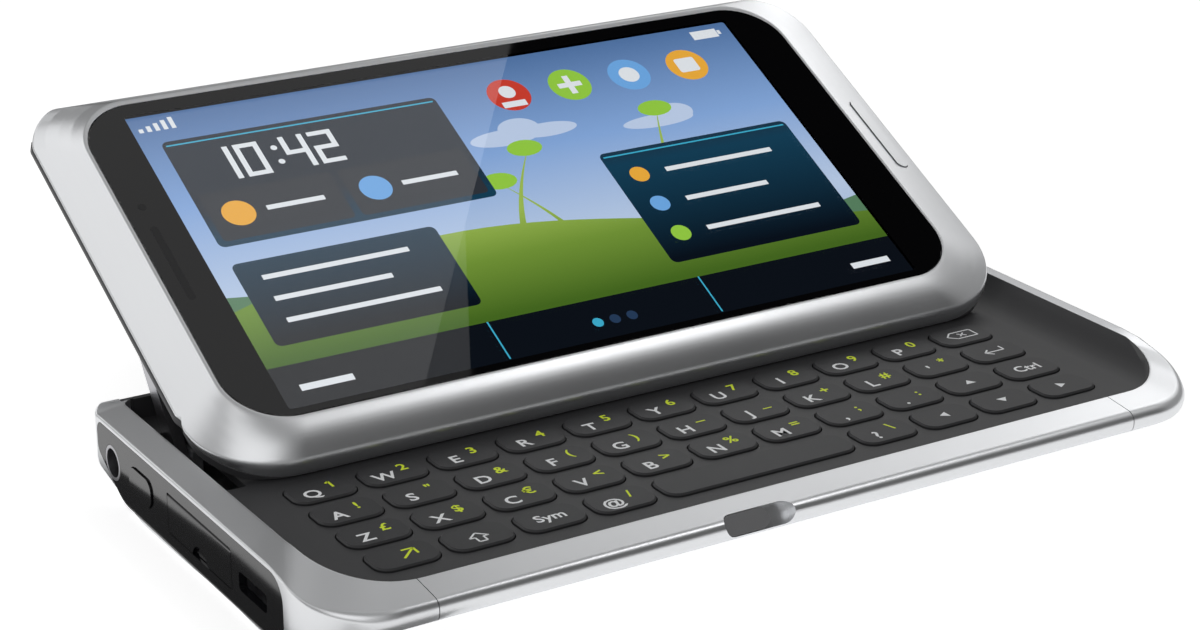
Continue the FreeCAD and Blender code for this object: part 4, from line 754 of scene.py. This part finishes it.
def keyLegends():
    entries = []
    for item in LEGENDS.split(" "):
        name, rest = item.split(":", 1)
        main, second = rest.split(":", 1)
        entries.append((name, main, second))
    entries.append(("period", ".", ":"))
    wanted = {(main, legend["size"]) for _, main, _ in entries if main}
    wanted |= {(second, legend["secondSize"]) for _, _, second in entries if second}
    letters = letterMeshes(sorted(wanted))
    for name, main, second in entries:
        node = "key_" + name
        low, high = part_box(node)
        centre = np.array([(low[0] + high[0]) / 2, (low[1] + high[1]) / 2]) / mm
        height = high[2] / mm + legend["print"]
        verts, faces, numbers = [], [], []

        def add(points, loops, number):
            start = sum(len(part) for part in verts)
            verts.append(level(centre + points, height))
            faces.extend([[start + i for i in loop] for loop in loops])
            numbers.extend([number] * len(loops))
        if name in ICONS:
            finish, shapes = ICONS[name]
            for shape in shapes:
                add(np.asarray(shape, float), [list(range(len(shape)))], 0 if finish == "white" else 1)
        word = len(main) > 1
        texts = ((main, legend["size"], legend["word"] if word else 1.0, (0.0, 0.0) if word else legend["main"]),
                 (second, legend["secondSize"], 1.0, legend["second"]))
        for number, (text, size, scale, place) in enumerate(texts):
            if text:
                points, loops = letters[text, size]
                add(points * scale + place - (0, size * scale * legend["drop"]), loops, number)
        if verts:
            addPiece("legend_" + name, np.concatenate(verts), faces, (["white", "green"], numbers), node, 0)
    return len(entries)


for name in nodes:
    if name.startswith("key_"):
        dress(name, "key", 30)
print("legends:", keyLegends())


# the base: one hollow tray, cut into the rear cover and its two end caps

tray = {
    "outline": (-61.85, 61.85, -31.2, 31.2), "corners": (9.5, 9.5, 1.0, 1.0),
    "deck": (-58.45, 59.25, -26.15, 30.35), "deckCorners": (11.05, 7.55, 1.55, 1.55),
    "ledge": (-57.6, 58.4, -25.3, 29.5), "ledgeCorners": (10.2, 6.7, 1.0, 1.0), "ledgeHeight": 6.6,
    "floor": (-57.0, 55.0, -22.0, 22.0), "floorCorner": 5.0, "floorHeight": 1.1,
    "foot": (-61.85, 57.35, -22.7, 22.7), "footCorner": 6.0, "middleInset": 12.0, "middleCorner": 3.0,
    "shoulder": (10.3, 10.3, 10.3, 9.3), "shoulderRound": (1.4, 1.9, 0.4, 0.35),  # near, right, far, left
    "waist": (4.9, 4.5, 4.9, 3.0), "waistRound": (1.4, 3.2, 1.4, 1.0),
    "footRound": (7.0, 3.2, 7.0, 1.0),
    "rim": ((-31.2, 7.0), (-26.1, 7.6), (-17.0, 10.3)),  # height of the edge along y
    "crest": 0.18, "crestRound": 0.35, "sharp": 0.03, "innerRound": 0.06,
    "soft": 0.12, "crown": 10.25,  # how softly rim and shoulder cross, and from where both count as level
    "seams": (-48.25, 48.25), "seamGap": 0.1, "end": 70, "around": (-40, 40, -5, 20),
}


def rimTop(y):
    # height of the tray's edge along y, softened at its corners
    ys, zs = zip(*tray["rim"])
    return np.mean([np.interp(y + shift, ys, zs) for shift in np.linspace(-0.7, 0.7, 9)], 0)


def traySkin():
    t = tray
    outer = roundedPath(*t["outline"], t["corners"], 20, 14)
    deck = roundedPath(*t["deck"], t["deckCorners"], 20, 14)
    crest = roundedPath(*inset(t["deck"], -t["crest"]), [c + t["crest"] for c in t["deckCorners"]], 20, 14)
    ledge = roundedPath(*t["ledge"], t["ledgeCorners"], 20, 14)
    floor = roundedPath(*t["floor"], [t["floorCorner"]] * 4, 20, 14)
    foot = roundedPath(*t["foot"], [t["footCorner"]] * 4, 20, 14)
    middle = roundedPath(*inset(t["foot"], t["middleInset"]), [t["middleCorner"]] * 4, 20, 14)

    def blend(values):
        return sideBlend(*values, 20, 14)
    limit = blend(t["shoulder"])
    top = rimTop(outer[:, 1])
    # the lower of the two, eased over soft millimetres where they cross
    soft, crown = t["soft"], t["crown"]
    shoulder = -soft * np.log(np.exp(-limit / soft) + np.exp(-top / soft))
    shoulder += soft * math.log(2) * (top > crown) * (limit > crown)
    controls = np.stack([
        level(floor, t["floorHeight"]), level(ledge, t["ledgeHeight"]), level(deck, t["ledgeHeight"]),
        level(deck, rimTop(deck[:, 1])), level(crest, rimTop(crest[:, 1])), level(outer, shoulder),
        level(outer, blend(t["waist"])), level(foot, 0.0), level(middle, 0.0),
    ], 1)
    radii = radiiOf(len(outer), *[t["sharp"]] * 3, t["innerRound"], t["crestRound"], blend(t["shoulderRound"]),
                    blend(t["waistRound"]), blend(t["footRound"]), t["sharp"])
    return skin(roundSections(controls, radii, 8))


def stadium(halfLength, halfWidth, steps=10):
    a = np.radians(np.linspace(-90, 90, steps))
    right = np.column_stack([halfLength - halfWidth + halfWidth * np.cos(a), halfWidth * np.sin(a)])
    return np.concatenate([right, -right])


def cornerPath(corners, steps=8):
    # a closed path through (x, y, radius) corners, each rounded
    points = np.array([corner[:2] for corner in corners], float)
    path = []
    for i, (x, y, r) in enumerate(corners):
        here, back, ahead = points[i], points[i - 1] - points[i], points[(i + 1) % len(points)] - points[i]
        back, ahead = back / np.linalg.norm(back), ahead / np.linalg.norm(ahead)
        half = math.acos(float(np.clip(back @ ahead, -1, 1))) / 2
        reach, k = r / math.tan(half), np.linspace(0, 1, steps)[:, None]
        a, b, w = here + back * reach, here + ahead * reach, math.sin(half)
        path.append((a * (1 - k) ** 2 + 2 * w * here * k * (1 - k) + b * k ** 2)
                    / ((1 - k) ** 2 + 2 * w * k * (1 - k) + k ** 2))
    return np.concatenate(path)


SIDEWAYS = ((0, 1, 0), (0, 0, 1), (1, 0, 0))  # a path in y and z, pulled along x
BACKWARDS = ((1, 0, 0), (0, 0, 1), (0, -1, 0))  # a path in x and z, pulled towards the user
lockLean = math.radians(55.0)
LOCK = {"origin": (-7.1, -30.9, 6.6), "axes": ((1, 0, 0), (0, math.cos(lockLean), math.sin(lockLean)),
                                               (0, -math.sin(lockLean), math.cos(lockLean)))}

# openings in the base, in millimetres
openings = {
    "panelSeat": [(-21.55, 0.5, 3), (22.7, 0.5, 7), (30.05, 4.87, 1.5), (30.05, 8.85, 1.5), (-21.55, 8.85, 3)],
    "panelDepth": (-63.0, -60.9), "sideFace": -62.0,
    "jack": (25.5, 4.75, 2.25), "jackEnd": -45.0,
    "power": (-59.5, 13.1, 20.5, 2.6, 7.2), "video": (-57.4, -5.1, 5.8, 3.1, 6.4),
    "data": (-57.4, -17.8, -9.9, 2.75, 5.85),
    "lockSeat": (4.8, 1.35, -1.5, 2.0), "lockWay": (-2.7, 2.04, -0.57, 0.57), "lockWayDepth": (-3.4, -1.4),
    "volume": (6.8, 1.2), "volumePlace": (-20.0, 5.9), "volumeDepth": (-32.2, -30.2),
    "lens": (-43, -10, 3.15), "floorDepth": (-0.5, 2.0),
    "sound": (38, -14, 0.4, 1.6, 7),  # place, radius, pitch and number of the loudspeaker's holes
    "wallSlot": (-58.45, 59.25, 30.3, 33, 7.55, 12),
    "screwHead": (1.35, -1, 0.7), "screwWay": (0.75, -1, 2),  # radius, low, high
}
SCREWS = ((-41, 8), (-41, 19), (42, 8), (42, 19), (54.7, -16), (-53.4, -19.4))
ears = {"places": ((-55.03, -1), (-55.03, 1), (32.3, -1), (32.3, 1)), "side": (0.95, 2.25),
        "along": (19.57, 22.57), "height": (1.1, 6.5)}


def leftCapTools():
    o = openings
    tools = [prismTool(cornerPath(o["panelSeat"]), *o["panelDepth"], axes=SIDEWAYS),
             prismTool(ellipse(*o["jack"]), o["sideFace"], o["jackEnd"], axes=SIDEWAYS)]
    return tools + [boxTool(o["sideFace"], *o[name]) for name in ("power", "video", "data")]


def rearCoverTools():
    o = openings
    length, width, low, high = o["lockSeat"]
    x, y, radius, pitch, count = o["sound"]
    holes = [ellipse(x + pitch * (i - count // 2), y, radius, steps=12) for i in range(count)]
    return [
        prismTool(stadium(length, width), low, high, **LOCK),
        prismTool(roundedPath(*o["lockWay"], [0.1] * 4, 3, 1), *o["lockWayDepth"], **LOCK),
        prismTool(stadium(*o["volume"]) + o["volumePlace"], *o["volumeDepth"], axes=BACKWARDS),
        prismTool(ellipse(*o["lens"]), *o["floorDepth"]),
    ] + [prismTool(hole, *o["floorDepth"]) for hole in holes]


def baseParts():
    verts, faces = traySkin()
    left, right = tray["seams"]
    gap, end = tray["seamGap"] / 2, tray["end"]
    parts = {"left_end_cap": (-end, left - gap, leftCapTools),
             "rear_cover": (left + gap, right - gap, rearCoverTools),
             "right_end_cap": (right + gap, end, list)}
    for name, (start, stop, cuts) in parts.items():
        piece = addPiece(name + "_skin", verts, faces, "silver", "base", 0, (name,))
        tools = cuts() + [boxTool(*openings["wallSlot"])]
        for x, y in SCREWS:
            if start < x < stop:
                for (radius, low, high), steps in ((openings["screwHead"], 28), (openings["screwWay"], 16)):
                    tools.append(prismTool(ellipse(x, y, radius, steps=steps), low, high))
        subtract(piece, tools, boxTool(start, stop, *tray["around"]))
        smoothFaces(piece.data, 32)
    near, far = ears["along"]
    for i, (x, side) in enumerate(ears["places"]):
        low, high = sorted(x + side * reach for reach in ears["side"])
        path = np.array([(low, near), (high, near), (high, far), (low, far)])
        verts, faces = skin(np.stack([level(path, height) for height in ears["height"]], 1))
        addPiece("bearing_ear_" + str(i + 1), verts, faces, "silver", "base", 0)


baseParts()
print("base shells")


# the rest of the phone follows the frame's own shapes

# the board's solids by size and place: the long ones are the board and the dome sheet above it, those at the left
# end are the sockets, the audio one farthest back, and the other large ones are steel
boardParts = {"long": 90, "sheetHeight": 4.9, "socketsEnd": -50, "audioFrom": 20, "large": 12}


def boardFinish(low, high):
    size, b = high - low, boardParts
    if size[0] > b["long"]:
        return "board" if low[2] < b["sheetHeight"] else "black"
    if high[0] < b["socketsEnd"] and low[1] > b["audioFrom"]:
        return "black"
    return "steel" if size.max() > b["large"] or high[0] < b["socketsEnd"] else "black"


FINISHES = {
    "keyboard_deck": "deck",
    "display_back": "back", "port_panel": "gloss", "power_button": "gloss", "hdmi_cover": "gloss",
    "menu_key": "silver", "lock_slider": "knob", "volume_key": "knob", "lift_arms": "steel", "battery": "foil",
    "case_screws": "steel",
}
for name, finish in FINISHES.items():
    dress(name, finish)
dress("main_board", None, 30, boardFinish)
print("dressed")


# camera, light and floor

view = {"place": (-170.71, -262.88, 138.8), "lens": 83.09, "sensor": 36, "clip": 0.01,
        "right": (0.852051, -0.523458, -0.000457), "down": (-0.186531, -0.302808, -0.934620),
        "forward": (0.489096, 0.796429, -0.355649)}


def addCamera():
    camera = bpy.data.objects.new("camera", bpy.data.cameras.new("camera"))
    bpy.context.scene.collection.objects.link(camera)
    camera.data.lens, camera.data.sensor_width = view["lens"], view["sensor"]
    camera.data.clip_start = view["clip"]
    turn = np.eye(4)
    turn[:3, 0], turn[:3, 1], turn[:3, 2] = view["right"], -np.array(view["down"]), -np.array(view["forward"])
    turn[:3, 3] = np.array(view["place"]) * mm
    camera.matrix_world = Matrix(turn.tolist())
    bpy.context.scene.camera = camera


# half the floor's side in metres, the world's strength in reflections, the floor's glow in the picture and in
# reflections, its colour, the point that the softboxes aim at, and the height of the cards that paint shadow on the
# floor
room = {"floor": 1.6, "world": 0.3, "lift": 0.6, "floorColour": 0.85, "aim": (0, 0, 0.02), "cardHeight": 0.3}

# each softbox: direction from the phone, distance, size, radiance
SOFTBOXES = {
    "topSoftbox": ((0.49, -0.13, 0.86), 0.55, (0.15, 0.13), 3.6),
    "leftSoftbox": ((-0.62, 0.45, 0.64), 0.5, (0.42, 0.36), 0.8),
    "rightSoftbox": ((0.785, 0.353, 0.51), 0.58, (0.24, 0.2), 0.9),
    "bandSoftbox": ((0.6, 0.62, 0.5), 0.6, (0.4, 0.14), 1.25),
    "lipSoftbox": ((-0.356, 0.796, 0.489), 0.6, (0.16, 0.14), 1.8),
    "nearSoftbox": ((-0.52, -0.58, 0.62), 0.6, (0.45, 0.45), 0.95),
}


def addSoftbox(name, direction, distance, size, radiance):
    lamp = bpy.data.lights.new(name, "AREA")
    lamp.shape = "RECTANGLE"
    lamp.size, lamp.size_y = size
    lamp.energy = radiance * math.pi * size[0] * size[1]
    holder = bpy.data.objects.new(name, lamp)
    bpy.context.scene.collection.objects.link(holder)
    holder.location = Vector(direction).normalized() * distance + Vector(room["aim"])
    holder.rotation_mode = "QUATERNION"
    holder.rotation_quaternion = (-Vector(direction)).to_track_quat("-Z", "Y")


def addCard(name, points, glowing):
    mesh = bpy.data.meshes.new(name)
    mesh.from_pydata([tuple(point) for point in points], [], [list(range(len(points)))])
    mesh.materials.append(newMaterial(name, Base_Color=(0.0, 0.0, 0.0), Roughness=1.0, Specular_IOR_Level=0.0,
                                      Emission_Color=(1.0, 1.0, 1.0), Emission_Strength=glowing))
    piece = bpy.data.objects.new(name, mesh)
    bpy.context.scene.collection.objects.link(piece)
    mesh.materials[0].cycles.emission_sampling = "NONE"
    piece.visible_camera = piece.visible_diffuse = piece.visible_shadow = False


def mirrored(distance, *spots):
    # where the lines of sight to spots on the glass go after their reflection
    points, normal = onDisplay(level(np.array(spots, float), 0.0)), displayAxes[2]
    sight = points - view["place"]
    sight /= np.linalg.norm(sight, axis=1, keepdims=True)
    return (points + distance * (sight - 2 * (sight @ normal)[:, None] * normal)) * mm


def onFloor(*spots):
    return level(np.array(spots, float), room["cardHeight"]) * mm


# cards that only show in reflections, as painted reflections: the glowing one paints a lighter patch on the glass,
# the dark ones paint darker reflections, and those on the floor paint the phone's shadow where its sides reflect
# the floor; corners in metres, glow
CARDS = {
    # painted reflection: a lighter patch over the glass's left part
    "glassLightReflection": (mirrored(450, (-31, -4), (13, 56), (-90, 75), (-90, -20)), 0.6),
    # painted reflection: keeps the glass's right part dark
    "glassDarkReflection": (mirrored(455, (-31.5, -20), (13, 75), (75, 75), (75, -20)), 0.0),
    # painted reflection: darkens the lower part of the display's brow
    "browDarkReflection": ([(0.02, -0.5, 0.1), (0.6, -0.5, 0.1), (0.42, -0.24, 0.4), (0.02, -0.24, 0.4)], 0.03),
    # painted reflection: darkens the top of the base's rim towards the back
    "rimDarkReflection": ([(-0.08, 0.4, 0.19), (0.19, 0.4, 0.19), (0.19, 0.4, 0.42), (-0.08, 0.4, 0.42)], 0.04),
    # painted shadow: a dark strip on the floor by the left end, standing in for the phone's own shadow as the
    # glossy end panel reflects it
    "panelShadowReflection": (onFloor((-67.6, -12), (-62.2, -29), (-62.2, 42), (-64.6, 40), (-66.2, 22), (-67.6, 3)), 0.07),
    # painted shadow: a dark patch on the floor at the front left corner, standing in for the phone's contact shadow
    # as the belly reflects it
    "cornerShadowReflection": (onFloor((-66, -38), (-42, -38), (-48, -25), (-60, -25), (-66, -16)), 0.2),
}


def addRoom():
    world = bpy.data.worlds.new("studio")
    bpy.context.scene.world = world
    world.use_nodes = True
    tree = world.node_tree
    seen = addNode(tree, "ShaderNodeLightPath")
    background = tree.nodes["Background"]
    background.inputs["Color"].default_value = (1, 1, 1, 1)
    tree.links.new((room["world"] + (1 - room["world"]) * seen).output, background.inputs["Strength"])
    half = room["floor"]
    mesh = bpy.data.meshes.new("floor")
    mesh.from_pydata([(-half, -half, 0), (half, -half, 0), (half, half, 0), (-half, half, 0)], [], [(0, 1, 2, 3)])
    floor = bpy.data.objects.new("floor", mesh)
    bpy.context.scene.collection.objects.link(floor)

    def lifted(tree):
        seen = addNode(tree, "ShaderNodeLightPath")
        others = [Socket(tree, seen.output.node.outputs[name]) for name in ("Is Glossy Ray", "Is Transmission Ray")]
        return {"Emission Strength": room["lift"] * (seen + others[0] + others[1])}
    pale = (room["floorColour"],) * 3
    mesh.materials.append(newMaterial("paleFloor", lifted, Base_Color=pale, Roughness=0.9, Specular_IOR_Level=0.0,
                                      Emission_Color=(1.0, 1.0, 1.0)))
    mesh.materials[0].cycles.emission_sampling = "NONE"
    for name, (direction, distance, size, radiance) in SOFTBOXES.items():
        addSoftbox(name, direction, distance, size, radiance)
    for name, (spots, glowing) in CARDS.items():
        addCard(name, spots, glowing)


addCamera()
addRoom()
print("room")

bpy.context.scene.view_settings.view_transform = "Standard"
